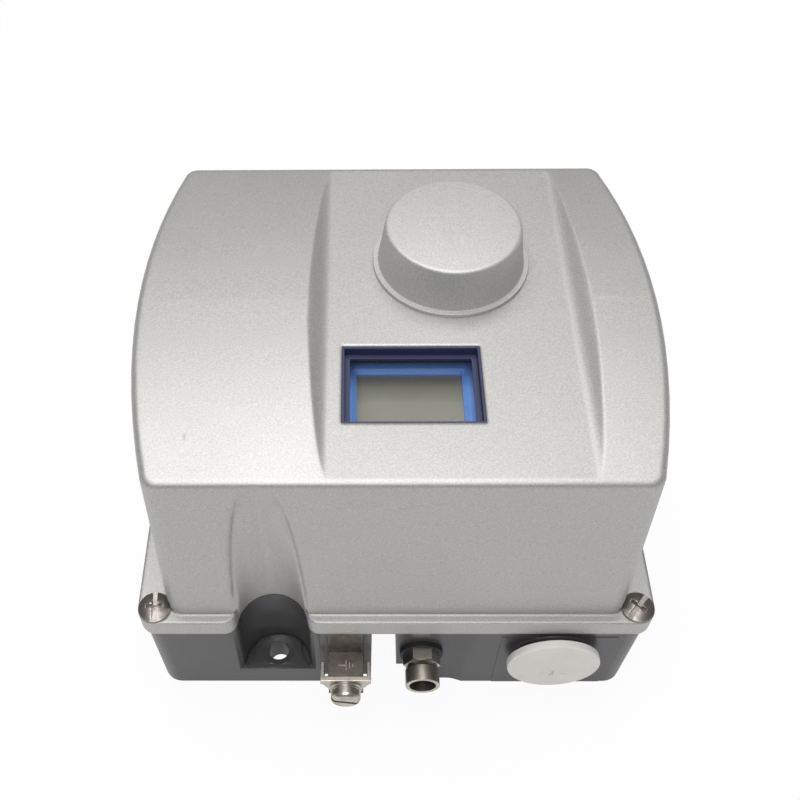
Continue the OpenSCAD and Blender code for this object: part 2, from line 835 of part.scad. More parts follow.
// Dark gasket between the cover and the lens, with a lip up the walls of the window
module window_gasket() {
    lip_t = 0.6;
    lip_top = cover_h - 0.3;
    lip_w = window_w - 2 * seat_fit;
    lip_l = window_l - 2 * seat_fit;
    color(rubber) translate([window_x, -window_y, 0]) {
        translate([0, 0, lens_z + lens_t]) linear_extrude(window_gasket_t) difference() {
            square([window_w + 2 * window_margin, window_l + 2 * window_margin], center = true);
            square([window_w - 2 * gasket_show, window_l - 2 * gasket_show], center = true);
        }
        translate([0, 0, lens_z + lens_t]) linear_extrude(lip_top - lens_z - lens_t) difference() {
            square([lip_w, lip_l], center = true);
            square([lip_w - 2 * lip_t, lip_l - 2 * lip_t], center = true);
        }
    }
}

// Clear pane under the window
module window_lens() {
    color([0.8, 0.85, 0.9, 0.4]) translate([window_x, -window_y, lens_z])
        linear_extrude(lens_t)
            rounded_rect(window_w + 2 * window_margin, window_l + 2 * window_margin, 1);
}

// Frame that clamps the lens against the cover, with an ear for each screw
module window_clamp() {
    lip = 1;
    color(black) difference() {
        union() {
            translate([window_x, -window_y, clamp_z])
                linear_extrude(ceiling_z - clamp_z - seat_fit)
                    square([window_w + 2 * clamp_rim + 1.6, window_l + 2 * window_margin + 2],
                           center = true);
        }
        translate([window_x, -window_y, clamp_z + clamp_t]) linear_extrude(lens_t + past + 1)
            square([window_w + 2 * (window_margin + seat_fit),
                    window_l + 2 * (window_margin + seat_fit)], center = true);
        translate([window_x, -window_y, clamp_z - past]) linear_extrude(clamp_t + 2 * past)
            square([window_w + 2 * lip, window_l + 2 * lip], center = true);
        at_window_screws() rod_z(window_screw_r + seat_fit, clamp_z - past, ceiling_z + past);
    }
}

// Four small screws of the window clamp
module window_screws() {
    head_r = 1.9;
    head_t = 1.1;
    color(steel) at_window_screws() {
        rod_z(window_screw_r - run_fit, clamp_z - eps, ceiling_z + 1.6);
        rod_z(head_r, clamp_z - head_t, clamp_z);
    }
}

// Sizes of the earth terminal and the vent thread
earth_screw_r = 2.5;
earth_head_r = 4.6;
earth_pad_up = 5.6;
earth_pad_down = 8.4;
earth_pad_y = rim_front + 7.1;
earth_plate_t = 3;
earth_plate_y = rim_front - 0.3;
saddle_t = 1.6;
saddle_w = 15.6;
washer_t = 0.75;
vent_thread_r = 4.8;
vent_thread_l = 8;
vent_face = vent_front + 1.5;

// Outline of the earth block, grown by a clearance where it seats in the base
module earth_block_form(grow) {
    half = earth_w / 2 + grow;
    box([-earth_x - half, -earth_plate_y, earth_z - earth_pad_down - grow],
        [-earth_x + half, -earth_plate_y + earth_plate_t + grow, base_h + past * sign(grow)]);
    box([-earth_x - half, -earth_pad_y, earth_z - earth_pad_down - grow],
        [-earth_x + half, -earth_plate_y + eps, earth_z + earth_pad_up + grow]);
}

// Plated earth block with its upright contact plate
module earth_block() {
    color(nickel) difference() {
        earth_block_form(0);
        translate([-earth_x, 0, earth_z]) rod_y(earth_screw_r, -housing_l, 0);
    }
}

// U-shaped saddle that clamps the earth wire
module earth_saddle() {
    half = saddle_w / 2;
    prong_t = 1.3;
    prong_h = 2.6;
    shoulder = 1.6;
    taper_w = 4.3;
    taper_h = 8;
    top = earth_z + earth_pad_up - 0.6;
    bottom = top - shoulder - taper_h;
    front = -earth_pad_y - saddle_t;
    color(nickel) difference() {
        translate([-earth_x, 0, 0]) {
            translate([0, front + saddle_t, 0]) rotate([90, 0, 0]) linear_extrude(saddle_t)
                polygon([[-half, top], [half, top], [half, top - shoulder],
                         [half - taper_w, bottom], [-half + taper_w, bottom],
                         [-half, top - shoulder]]);
            for (side = [-1, 1])
                translate([side * (half - prong_t / 2), 0, 0])
                    box([-prong_t / 2, front, top - prong_h],
                        [prong_t / 2, -earth_front - 3, top]);
        }
        translate([-earth_x, 0, earth_z]) rod_y(earth_screw_r + seat_fit, -housing_l, 0);
    }
}

// Spring washer and flat washer of the earth screw
module earth_washers() {
    color(nickel) translate([-earth_x, -earth_pad_y - saddle_t, earth_z])
        for (i = [0, 1]) difference() {
            rod_y(5 - 0.3 * i, -(i + 1) * washer_t, -i * washer_t);
            rod_y(earth_screw_r + seat_fit, -3, past);
        }
}

// Slotted cheese-head earth screw
module earth_screw() {
    head_t = 3.3;
    seat = -earth_pad_y - saddle_t - 2 * washer_t;
    slot = 1.2;
    color(nickel) translate([-earth_x, 0, earth_z]) difference() {
        union() {
            rod_y(earth_screw_r - run_fit, seat - eps, -earth_front + 5.5);
            translate([0, seat, 0]) rotate([90, 0, 0]) pan_head(earth_head_r, head_t, 0);
        }
        translate([0, seat - head_t, 0]) rotate([0, 14, 0])
            cube([2 * earth_head_r + past, 2.6, slot], center = true);
    }
}

// Plated exhaust fitting: thread, hexagon, cone and open sleeve
module vent_fitting() {
    hex_r = 5.77;
    neck_r = 4.7;
    hex_l = 3.5;
    cone_l = 1.8;
    sleeve_r = 5.25;
    sleeve_l = 4.8;
    bore_r = 4.1;
    throat_r = 2.2;
    hex_end = vent_face + hex_l;
    cone_end = hex_end + cone_l;
    color(nickel) translate([vent_x, 0, vent_z]) difference() {
        union() {
            rod_y(vent_thread_r - run_fit, -vent_face - eps, -vent_front + vent_thread_l);
            translate([0, -vent_face, 0]) rotate([90, 0, 0]) cylinder(r = hex_r, h = hex_l, $fn = 6);
            translate([0, -hex_end + eps, 0]) rotate([90, 0, 0])
                cylinder(r1 = neck_r, r2 = sleeve_r, h = cone_l);
            rod_y(sleeve_r, -cone_end - sleeve_l, -cone_end + 2 * eps);
        }
        rod_y(bore_r, -housing_l, -hex_end - 0.5);
        rod_y(throat_r, -housing_l, 0);
    }
}

// Black seal behind the exhaust fitting
module vent_seal() {
    color(rubber) translate([vent_x, 0, vent_z]) difference() {
        rod_y(6.7, -vent_face, -vent_front);
        rod_y(vent_thread_r + seat_fit, -housing_l, 0);
    }
}

// Sizes of the conduit plug
conduit_seal_t = 1.6;
panel_face = rim_front + base_inset;
plug_seat_r = plug_r - 1.6;
plug_seat = panel_face + conduit_seal_t;
plug_head_t = 2.4;

// Plug of the conduit entry, with a cross-shaped slot
module conduit_plug() {
    spigot_l = 12;
    wall = 2;
    slot = 1.1;
    edge = 0.7;
    drop = 5;
    color(white) translate([conduit_x, 0, conduit_z]) difference() {
        union() {
            rod_y(conduit_r, -plug_seat - eps, -plug_seat + spigot_l + conduit_seal_t);
            translate([0, -plug_seat, 0]) rotate([90, 0, 0]) rotate_extrude() {
                square([plug_r - edge, plug_head_t]);
                square([plug_r, plug_head_t - edge]);
                translate([plug_r - edge, plug_head_t - edge]) circle(edge);
            }
        }
        rod_y(conduit_r - wall, -plug_seat + 1, 0);
        translate([0, -plug_seat - plug_head_t, -drop]) {
            cube([8, 0.6, 0.35], center = true);
            cube([slot, 1.4, 4], center = true);
        }
    }
}

// Black sealing ring under the plug head
module conduit_seal() {
    color(rubber) translate([conduit_x, 0, conduit_z]) difference() {
        rod_y(plug_seat_r, -plug_seat, -panel_face);
        rod_y(conduit_r + seat_fit, -housing_l, 0);
    }
}

// Feedback shaft with its slotted drive end, clip groove and pointer seat
module feedback_shaft() {
    slot_w = 2.6;
    slot_depth = 3;
    color(steel) translate([shaft_x, shaft_y, 0]) difference() {
        union() {
            rod_z(drive_end_r, drive_end_z, drive_end_z + drive_end_l);
            rod_z(shaft_r, drive_end_z, shaft_top);
        }
        ring_z(shaft_r + past, clip_groove_r, clip_z - 0.1, clip_z + clip_t + 0.1);
        translate([0, 0, drive_end_z])
            cube([2 * drive_end_r + past, slot_w, 2 * slot_depth], center = true);
    }
}

// Plain bush in the hub of the base
module lower_bush() {
    color(brass) translate([shaft_x, shaft_y, 0])
        ring_z(bush_r - 0.02, shaft_r + run_fit, recess_depth + seal_t, hub_h);
}

// Flanged bush in the chassis plate
module upper_bush() {
    color(brass) translate([shaft_x, shaft_y, 0]) {
        ring_z(bush_r - 0.02, shaft_r + run_fit, chassis_z - 2, chassis_top + eps);
        ring_z(bush_lip_r, shaft_r + run_fit, chassis_top, chassis_top + bush_lip_t);
    }
}

// Lip seal at the bottom of the hub
module shaft_seal() {
    color(rubber) translate([shaft_x, shaft_y, 0])
        ring_z(seal_r - 0.02, shaft_r + 2 * run_fit, recess_depth, recess_depth + seal_t);
}

// Snap ring in the groove of the shaft
module shaft_clip() {
    color(steel) translate([shaft_x, shaft_y, 0]) difference() {
        ring_z(shaft_r + 2, clip_groove_r + 0.02, clip_z, clip_z + clip_t);
        box([0, -1.6, clip_z - past], [3 * shaft_r, 1.6, clip_z + clip_t + past]);
    }
}

// Plan of a spur gear: teeth with straight flanks, thinned for backlash
module gear_plan(teeth, turn) {
    pitch = gear_module * teeth / 2;
    tip = pitch + 0.8 * gear_module;
    root = pitch - 1.1 * gear_module;
    step = 360 / teeth;
    root_half = 0.27 * step;
    tip_half = 0.10 * step;
    polygon([for (i = [0 : teeth - 1]) each [
        for (corner = [[root, -root_half], [tip, -tip_half], [tip, tip_half], [root, root_half]])
            corner[0] * [cos(i * step + turn + corner[1]), sin(i * step + turn + corner[1])]]]);
}

// Drive gear fixed on the shaft
module drive_gear() {
    hub = shaft_r + 3.5;
    color(brass) translate([shaft_x, shaft_y, 0]) difference() {
        union() {
            translate([0, 0, gear_z]) linear_extrude(gear_t) gear_plan(drive_teeth, 0);
            rod_z(hub, gear_z - gear_hub_t, gear_z + gear_t + 1);
        }
        rod_z(shaft_r + 0.02, gear_z - 5, gear_z + gear_t + 5);
        for (a = [0 : 60 : 300])
            rotate(a) translate([(hub + drive_pitch_r) / 2, 0, 0])
                rod_z((drive_pitch_r - hub) / 2 - 2.2, gear_z - past, gear_z + gear_t + past);
    }
}

// Disc with a pointer on top of the shaft
module travel_pointer() {
    disc_r = 10;
    tip_r = 15;
    color([0.85, 0.45, 0.12]) translate([shaft_x, shaft_y, pointer_z]) linear_extrude(pointer_t)
        difference() {
            union() {
                circle(disc_r);
                polygon([[0, -5], [tip_r, 0], [0, 5]]);
            }
            circle(shaft_r + 0.02);
        }
}

// Rotary position sensor on the chassis plate
module position_sensor() {
    ear = 2 * sensor_ear;
    color([0.12, 0.20, 0.42]) translate([sensor_x, shaft_y, 0]) difference() {
        union() {
            rod_z(sensor_r, chassis_top, chassis_top + sensor_h);
            box([-4, -sensor_r - ear, chassis_top], [4, sensor_r + ear, chassis_top + 2]);
        }
        rod_z(spindle_r + run_fit, chassis_top - past, chassis_top + sensor_h - 2);
        for (side = [-1, 1])
            translate([0, side * (sensor_r + ear / 2), 0])
                rod_z(m3_r + 0.2, chassis_top - past, chassis_top + 3);
    }
}

// Spindle that carries the sensor gear
module sensor_spindle() {
    color(steel) translate([sensor_x, shaft_y, 0])
        rod_z(spindle_r, gear_z - 1, chassis_top + sensor_h - 2.5);
}

// Small gear driven by the drive gear
module sensor_gear() {
    color(brass) translate([sensor_x, shaft_y, 0]) difference() {
        union() {
            translate([0, 0, gear_z]) linear_extrude(gear_t)
                gear_plan(sensor_teeth, 180 + 180 / sensor_teeth);
            rod_z(spindle_r + 2.5, gear_z - 0.8, gear_z + gear_t + 2);
        }
        rod_z(spindle_r + 0.02, gear_z - 5, gear_z + gear_t + 5);
    }
}

// Chassis plate that holds the upper bush, the sensor and the boards
module chassis_plate() {
    slot_r = 6;
    color(steel) difference() {
        translate([(chassis_x0 + chassis_x1) / 2, (chassis_y0 + chassis_y1) / 2, chassis_z])
            linear_extrude(chassis_t)
                rounded_rect(chassis_x1 - chassis_x0, chassis_y1 - chassis_y0, 3);
        translate([shaft_x, shaft_y, 0]) rod_z(bush_r, chassis_z - past, chassis_top + past);
        translate([sensor_x, shaft_y, 0]) rod_z(spindle_r + 1, chassis_z - past, chassis_top + past);
        at_chassis_posts() rod_z(m3_r + 0.2, chassis_z - past, chassis_top + past);
        for (x = board_post_x, y = board_post_y)
            translate([x, y, 0]) rod_z(post_screw_r, chassis_z - past, chassis_top + past);
        for (side = [-1, 1])
            translate([sensor_x, shaft_y + side * (sensor_r + sensor_ear), 0])
                rod_z(m3_r, chassis_z - past, chassis_top + past);
        translate([shaft_x, chassis_y0 + 20, 0]) rod_z(slot_r, chassis_z - past, chassis_top + past);
    }
}

// Screws of the chassis plate and of the position sensor
module chassis_screws() {
    color(steel) {
        at_chassis_posts() {
            rod_z(m3_r - run_fit, chassis_z - 7, chassis_top + eps);
            pan_head(m3_head_r, m3_head_t, chassis_top);
        }
        for (side = [-1, 1])
            translate([sensor_x, shaft_y + side * (sensor_r + sensor_ear), 0]) {
                rod_z(m3_r - run_fit, chassis_z, chassis_top + 2 + eps);
                pan_head(m3_head_r, m3_head_t, chassis_top + 2);
            }
    }
}

// Four hexagon posts under the main board, each with its screw
module board_posts() {
    color(brass) for (x = board_post_x, y = board_post_y) translate([x, y, 0]) {
        translate([0, 0, chassis_top]) cylinder(r = hex_post_r, h = main_z - chassis_top, $fn = 6);
        rod_z(post_screw_r - run_fit, chassis_z, main_z + board_t + eps);
        pan_head(2.5, 1.6, main_z + board_t);
    }
}

// Controller board with its parts
module main_board() {
    chips = [[11.2, 24.2, 12, 12, 1.8], [24, 28.3, 9, 7, 1.6], [33, 14.5, 8, 10, 4],
             [13.7, 12.4, 7, 5, 2.2], [21.3, 4.2, 16, 5, 5]];
    top = main_z + board_t;
    color(board_green) difference() {
        union() {
            box([main_x0, main_y0, main_z], [main_x1, main_y1, top]);
            for (c = chips)
                translate([board_post_x[0] + c[0] - c[2] / 2, main_y0 + c[1] - c[3] / 2, top - eps])
                    cube([c[2], c[3], c[4] + eps]);
        }
        for (x = board_post_x, y = board_post_y)
            translate([x, y, 0]) rod_z(post_screw_r, main_z - past, top + past);
        for (x = display_post_x, y = display_post_y)
            translate([x, y, 0]) rod_z(post_screw_r, main_z - past, top + past);
    }
}

// Copies its children to the screws of the terminal block
module at_terminals() {
    for (i = [0 : poles - 1])
        translate([terminal_x + 5, terminal_y + (i + 0.5) * pole_pitch, main_z + board_t]) children();
}

// Six-pole terminal block for the signal wires
module terminal_block() {
    entry = 3.6;
    color([0.16, 0.42, 0.24]) difference() {
        translate([terminal_x, terminal_y, main_z + board_t])
            cube([terminal_w, poles * pole_pitch, terminal_h]);
        at_terminals() {
            rod_z(terminal_screw_r + 0.4, terminal_h - 3, terminal_h + past);
            box([terminal_w - 5 - 6, -entry / 2, 2], [terminal_w, entry / 2, 2 + entry]);
        }
    }
}

// Slotted screws of the terminal block
module terminal_screws() {
    color(nickel) at_terminals() difference() {
        rod_z(terminal_screw_r, terminal_h - 3, terminal_h - 0.6);
        translate([0, 0, terminal_h]) cube([4, 0.6, 2.4], center = true);
    }
}

// Tall posts that carry the display board
module display_posts() {
    color(brass) for (x = display_post_x, y = display_post_y) translate([x, y, 0]) {
        rod_z(post_screw_r - run_fit, main_z, main_z + board_t + eps);
        translate([0, 0, main_z + board_t])
            cylinder(r = hex_post_r, h = display_z - main_z - board_t, $fn = 6);
        rod_z(post_screw_r - run_fit, display_z - eps, display_z + board_t);
    }
}

// Copies its children to one key of the display board, counted from the front
module at_key(i) {
    translate([key_x, display_y0 + 3 + (i + 0.5) * key_pitch, 0]) children();
}

// Display board with a tactile switch under each key
module display_board() {
    top = display_z + board_t;
    color(board_green) difference() {
        union() {
            box([display_x0, display_y0, display_z], [display_x1, display_y1, top]);
            for (i = [0 : key_count - 1]) at_key(i) {
                box([-2.5, -2.2, top - eps], [2.5, 2.2, top + 1.2]);
                rod_z(1.2, top, key_rest_z - key_travel - 0.3);
            }
        }
        for (x = display_post_x, y = display_post_y)
            translate([x, y, 0]) rod_z(post_screw_r, display_z - past, top + past);
    }
}

// Underside of a key at rest
key_rest_z = lcd_top - 0.3 - key_lip;

// Moulded frame round the display, open below, with the key openings
module display_bezel() {
    wall = 1.6;
    chamfer = 1.2;
    foot = display_z + board_t;
    lcd_y = lcd_y1 - lcd_l / 2;
    color(blue) difference() {
        box([display_x0 + 0.5, display_y0 + 0.3, foot], [display_x1 - 0.5, display_y1 - 0.5, bezel_top]);
        box([display_x0 + 0.5 + wall, display_y0 + 0.3 + wall, foot - past],
            [display_x1 - 0.5 - wall, display_y1 - 0.5 - wall, lcd_top]);
        translate([window_x, lcd_y, 0]) {
            box([-lcd_w / 2, -lcd_l / 2 + wall, lcd_top - past],
                [lcd_w / 2, lcd_l / 2, bezel_top + past]);
            bevelled_opening(lcd_w, lcd_l, chamfer);
        }
        for (i = [0 : key_count - 1]) at_key(i)
            box([-key_w / 2 - 0.3, -key_l / 2 - 0.3, lcd_top - past],
                [key_w / 2 + 0.3, key_l / 2 + 0.3, bezel_top + past]);
        for (x = display_post_x, y = display_post_y)
            translate([x, y, 0]) rod_z(post_screw_r, foot - past, bezel_top + past);
    }
}

// Sloping edge round the display opening
module bevelled_opening(w, l, depth) {
    for (side = [-1, 1]) {
        translate([side * w / 2, 0, bezel_top]) rotate([0, 45, 0])
            cube([depth * sqrt(2), l + depth, depth * sqrt(2)], center = true);
    }
    translate([0, l / 2, bezel_top]) rotate([45, 0, 0])
        cube([w + depth, depth * sqrt(2), depth * sqrt(2)], center = true);
}

// Liquid crystal panel under the frame
module lcd_panel() {
    rim = 1.6;
    back = lcd_y1 + rim;
    front = display_y0 + 2.2;
    color(lcd_grey) box([window_x - lcd_w / 2 - rim, front, display_z + board_t],
                        [window_x + lcd_w / 2 + rim, back, lcd_top - eps]);
}

// One key with a lip that keeps it under the frame
module key_cap(i) {
    color(key_grey) at_key(i) {
        box([-key_w / 2, -key_l / 2, key_rest_z], [key_w / 2, key_l / 2, bezel_top + 1.2]);
        box([-key_w / 2 - 0.7, -key_l / 2, key_rest_z],
            [key_w / 2 + 0.7, key_l / 2, key_rest_z + key_lip]);
    }
}

module key_increase() { key_cap(3); }
module key_decrease() { key_cap(2); }
module key_confirm() { key_cap(1); }
module key_cancel() { key_cap(0); }

// Air manifold with the three threaded ports that reach through the wall
module manifold_block() {
    color(silver) difference() {
        union() {
            box([manifold_x0, manifold_y0, floor_t], [manifold_x1, manifold_y1, manifold_top]);
            at_ports() rod_x(spigot_port_r, -port_face, manifold_x0 + past);
        }
        at_ports() {
            rod_x(port_r, -port_face - past, -port_face + port_depth);
            rod_x(2.5, -port_face, valve_x);
        }
        at_manifold_screws() rod_z(m4_r + 0.2, floor_t - past, manifold_top + past);
        for (i = [-1 : 1])
            translate([valve_x, manifold_mid + i * port_pitch / 2, 0])
                rod_z(2.5, port_z - 2, manifold_top + past);
        at_pressure_sensors() rod_z(1.5, port_z, manifold_top + past);
        at_valve_screws() rod_z(m3_r, manifold_top - 8, manifold_top + past);
    }
}

// Screws that hold the manifold on the floor
module manifold_screws() {
    color(steel) at_manifold_screws() {
        rod_z(m4_r - run_fit, floor_t - 2.4, manifold_top + eps);
        pan_head(m4_head_r, m4_head_t, manifold_top);
    }
}

// Copies its children to the four screws of the spool valve
module at_valve_screws() {
    for (sx = [-1, 1], y = [valve_y0 + 4, valve_y1 - 4])
        translate([valve_x + sx * (valve_w / 2 - 3), y, 0]) children();
}

// Block of the spool valve with its through bore
module valve_body() {
    bore = spool_r + run_fit;
    color(silver) difference() {
        box([valve_x - valve_w / 2, valve_y0, manifold_top],
            [valve_x + valve_w / 2, valve_y1, valve_top]);
        translate([valve_x, 0, spool_z]) rod_y(bore, valve_y0 - past, valve_y1 + past);
        for (i = [-1 : 1])
            translate([valve_x, manifold_mid + i * port_pitch / 2, 0])
                rod_z(2.5, manifold_top - past, spool_z);
        at_valve_screws() rod_z(m3_r + 0.2, manifold_top - past, valve_top + past);
        translate([valve_x, nozzle_y, 0]) rod_z(2, valve_top - 3, valve_top + past);
    }
}

// Screws of the spool valve
module valve_screws() {
    hex = 1.4;
    color(steel) at_valve_screws() difference() {
        union() {
            rod_z(m3_r - run_fit, manifold_top - 7, valve_top + eps);
            rod_z(m3_head_r, valve_top, valve_top + 3);
        }
        translate([0, 0, valve_top + 1.5]) cylinder(r = hex, h = 3, $fn = 6);
    }
}

// Spool with three lands and two waists
module spool() {
    waist_r = spool_r - 2;
    l = spool_y1 - spool_y0;
    land = l / 5;
    color(steel) translate([valve_x, 0, spool_z]) {
        rod_y(waist_r, spool_y0, spool_y1);
        for (i = [0, 2, 4])
            rod_y(spool_r, spool_y0 + i * land, spool_y0 + (i + 1) * land);
    }
}

// Point of the spring's wire ring, at a turn angle and an angle round the wire
function coil_point(angle, round, mid_r, lead) =
    let (r = mid_r + spring_wire_r * cos(round))
    [r * cos(angle), lead * angle / 360 + spring_wire_r * sin(round), r * sin(angle)];

// Return spring between the spool and its end cap
module spool_spring() {
    sides = 8;
    per_turn = 20;
    rings = spring_turns * per_turn;
    mid_r = spool_r - 2.2;
    lead = (spring_gap - 2 * spring_wire_r - 0.4) / spring_turns;
    points = [for (i = [0 : rings], j = [0 : sides - 1])
        coil_point(i * 360 / per_turn, j * 360 / sides, mid_r, lead)];
    walls = [for (i = [0 : rings - 1], j = [0 : sides - 1])
        [i * sides + j, i * sides + (j + 1) % sides,
         (i + 1) * sides + (j + 1) % sides, (i + 1) * sides + j]];
    ends = [[for (j = [0 : sides - 1]) sides - 1 - j], [for (j = [0 : sides - 1]) rings * sides + j]];
    color(steel) translate([valve_x, valve_y0 + spring_wire_r + 0.2, spool_z])
        polyhedron(points, concat(walls, ends), convexity = 8);
}

// Cap at the spring end of the valve
module spring_cap() {
    color(silver) box([valve_x - valve_w / 2, valve_y0 - end_cap_t, manifold_top],
                      [valve_x + valve_w / 2, valve_y0, valve_top]);
}

// Cap at the pilot end of the valve, hollow behind the diaphragm
module pilot_cap() {
    color(silver) difference() {
        box([valve_x - valve_w / 2, valve_y1 + diaphragm_t, manifold_top],
            [valve_x + valve_w / 2, valve_y1 + diaphragm_t + end_cap_t, valve_top]);
        translate([valve_x, 0, spool_z])
            rod_y(spool_r + 1, valve_y1, valve_y1 + diaphragm_t + spool_travel + 1.5);
    }
}

// Rubber diaphragm between the valve and the pilot cap
module diaphragm() {
    color(rubber) box([valve_x - valve_w / 2, valve_y1, manifold_top],
                      [valve_x + valve_w / 2, valve_y1 + diaphragm_t, valve_top]);
}

// Copies its children to the three pressure sensors
module at_pressure_sensors() {
    for (i = [-1 : 1]) translate([manifold_x1 - 4.4, manifold_mid + i * 18, 0]) children();
}

// Three pressure sensors on the manifold
module pressure_sensors() {
    color(steel) at_pressure_sensors() {
        rod_z(3.6, manifold_top, manifold_top + 6);
        rod_z(2.6, manifold_top, manifold_top + 8);
    }
}

// Coil of the pilot stage: yoke, bobbin and core
module coil_unit() {
    top = flapper_z - flapper_t / 2 - coil_gap;
    color([0.50, 0.28, 0.12]) translate([valve_x, coil_y, 0]) {
        rod_z(coil_r, valve_top, valve_top + 2);
        rod_z(coil_r - 1.5, valve_top, top - 1);
        rod_z(coil_r, top - 3, top - 1);
        rod_z(2.5, valve_top, top);
    }
}

// Air nozzle under the flapper
module pilot_nozzle() {
    color(brass) translate([valve_x, nozzle_y, 0]) difference() {
        union() {
            rod_z(2 - run_fit, valve_top - 2.8, valve_top + eps);
            rod_z(3, valve_top, flapper_z - flapper_t / 2 - nozzle_gap - 3);
            translate([0, 0, flapper_z - flapper_t / 2 - nozzle_gap - 3 - eps])
                cylinder(r1 = 3, r2 = 1.2, h = 3 + eps);
        }
        rod_z(0.5, valve_top - 4, flapper_z);
    }
}

// Bracket with two ears for the flapper pin
module flapper_bracket() {
    half = 6;
    ear_t = 2.6;
    color(steel) difference() {
        union() {
            box([valve_x - half, flapper_y - 3, valve_top], [valve_x + half, flapper_y + 3, valve_top + 3]);
            for (side = [-1, 1])
                translate([valve_x + side * (half - ear_t / 2), flapper_y, 0])
                    box([-ear_t / 2, -3, valve_top], [ear_t / 2, 3, flapper_z + 3]);
        }
        translate([valve_x, flapper_y, flapper_z]) rod_x(flapper_pin_r + run_fit, -half - past, half + past);
    }
}

// Pin of the flapper
module flapper_pin() {
    color(steel) translate([valve_x, flapper_y, flapper_z]) rod_x(flapper_pin_r, -6.2, 6.2);
}

// Flapper that opens and closes the nozzle
module flapper() {
    barrel = 3;
    width = 5;
    color(steel) translate([valve_x, flapper_y, flapper_z]) difference() {
        union() {
            rod_x(flapper_barrel_r, -barrel, barrel);
            box([-width, 0, -flapper_t / 2], [width, flapper_l, flapper_t / 2]);
        }
        rod_x(flapper_pin_r + run_fit, -barrel - past, barrel + past);
        for (side = [-1, 1])
            translate([side * (barrel + 3), 0, 0]) cube([6, 8, 8], center = true);
    }
}

base_housing();
lug_feet();
cover_gasket();
cover();
cover_screws();
indicator_cap();
cap_o_ring();
cap_clip();
window_gasket();
window_lens();
window_clamp();
window_screws();
earth_block();
earth_saddle();
earth_washers();
earth_screw();
vent_fitting();
vent_seal();
conduit_plug();
conduit_seal();
feedback_shaft();
lower_bush();
upper_bush();
shaft_seal();
shaft_clip();
drive_gear();
travel_pointer();
position_sensor();
sensor_spindle();
sensor_gear();
chassis_plate();
chassis_screws();
board_posts();
main_board();
terminal_block();
terminal_screws();
display_posts();
display_board();
display_bezel();
lcd_panel();
key_increase();
key_decrease();
key_confirm();
key_cancel();
manifold_block();
manifold_screws();
valve_body();
valve_screws();
spool();
spool_spring();
spring_cap();
pilot_cap();
diaphragm();
pressure_sensors();
coil_unit();
pilot_nozzle();
flapper_bracket();
flapper_pin();
flapper();
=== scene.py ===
"""Studio scene of a digital valve positioner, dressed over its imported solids."""
from __future__ import annotations

import json
import logging
import math
from dataclasses import dataclass, field
from enum import Enum
from typing import Any, Union

import bmesh
import bpy
from mathutils import Matrix, Vector

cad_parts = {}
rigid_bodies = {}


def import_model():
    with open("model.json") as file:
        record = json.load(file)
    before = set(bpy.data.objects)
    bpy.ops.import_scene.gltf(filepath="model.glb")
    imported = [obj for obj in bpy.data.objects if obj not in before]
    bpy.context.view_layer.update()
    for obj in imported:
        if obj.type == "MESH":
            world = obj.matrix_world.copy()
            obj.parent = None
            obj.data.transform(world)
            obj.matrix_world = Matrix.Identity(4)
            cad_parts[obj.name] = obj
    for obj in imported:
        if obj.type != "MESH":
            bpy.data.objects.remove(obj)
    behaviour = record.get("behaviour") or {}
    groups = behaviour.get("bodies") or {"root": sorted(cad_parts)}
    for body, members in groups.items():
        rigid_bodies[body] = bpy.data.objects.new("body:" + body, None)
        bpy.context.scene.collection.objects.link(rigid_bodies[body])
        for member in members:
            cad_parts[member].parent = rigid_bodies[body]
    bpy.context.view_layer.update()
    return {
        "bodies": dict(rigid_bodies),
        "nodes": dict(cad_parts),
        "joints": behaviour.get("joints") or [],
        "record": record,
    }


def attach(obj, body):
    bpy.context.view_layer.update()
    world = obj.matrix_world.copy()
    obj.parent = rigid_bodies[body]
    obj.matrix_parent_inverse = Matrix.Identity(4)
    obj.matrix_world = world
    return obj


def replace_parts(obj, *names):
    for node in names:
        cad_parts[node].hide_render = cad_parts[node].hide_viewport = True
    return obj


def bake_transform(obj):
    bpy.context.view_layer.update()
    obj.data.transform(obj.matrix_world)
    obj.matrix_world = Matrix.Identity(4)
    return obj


LOG = logging.getLogger("positioner")
MM = 0.001

# Points closer than this are one, and faces closer than this angle in degrees are one plane
WELD = 0.002 * MM
FLAT_ANGLE = 0.2

# Edges above these angles in degrees are eased and shaded sharp
EASE_ANGLE = 28.0
SHARP_ANGLE = 32.0

Color = tuple[float, float, float, float]
Point = tuple[float, float, float]
Span = tuple[float, float]


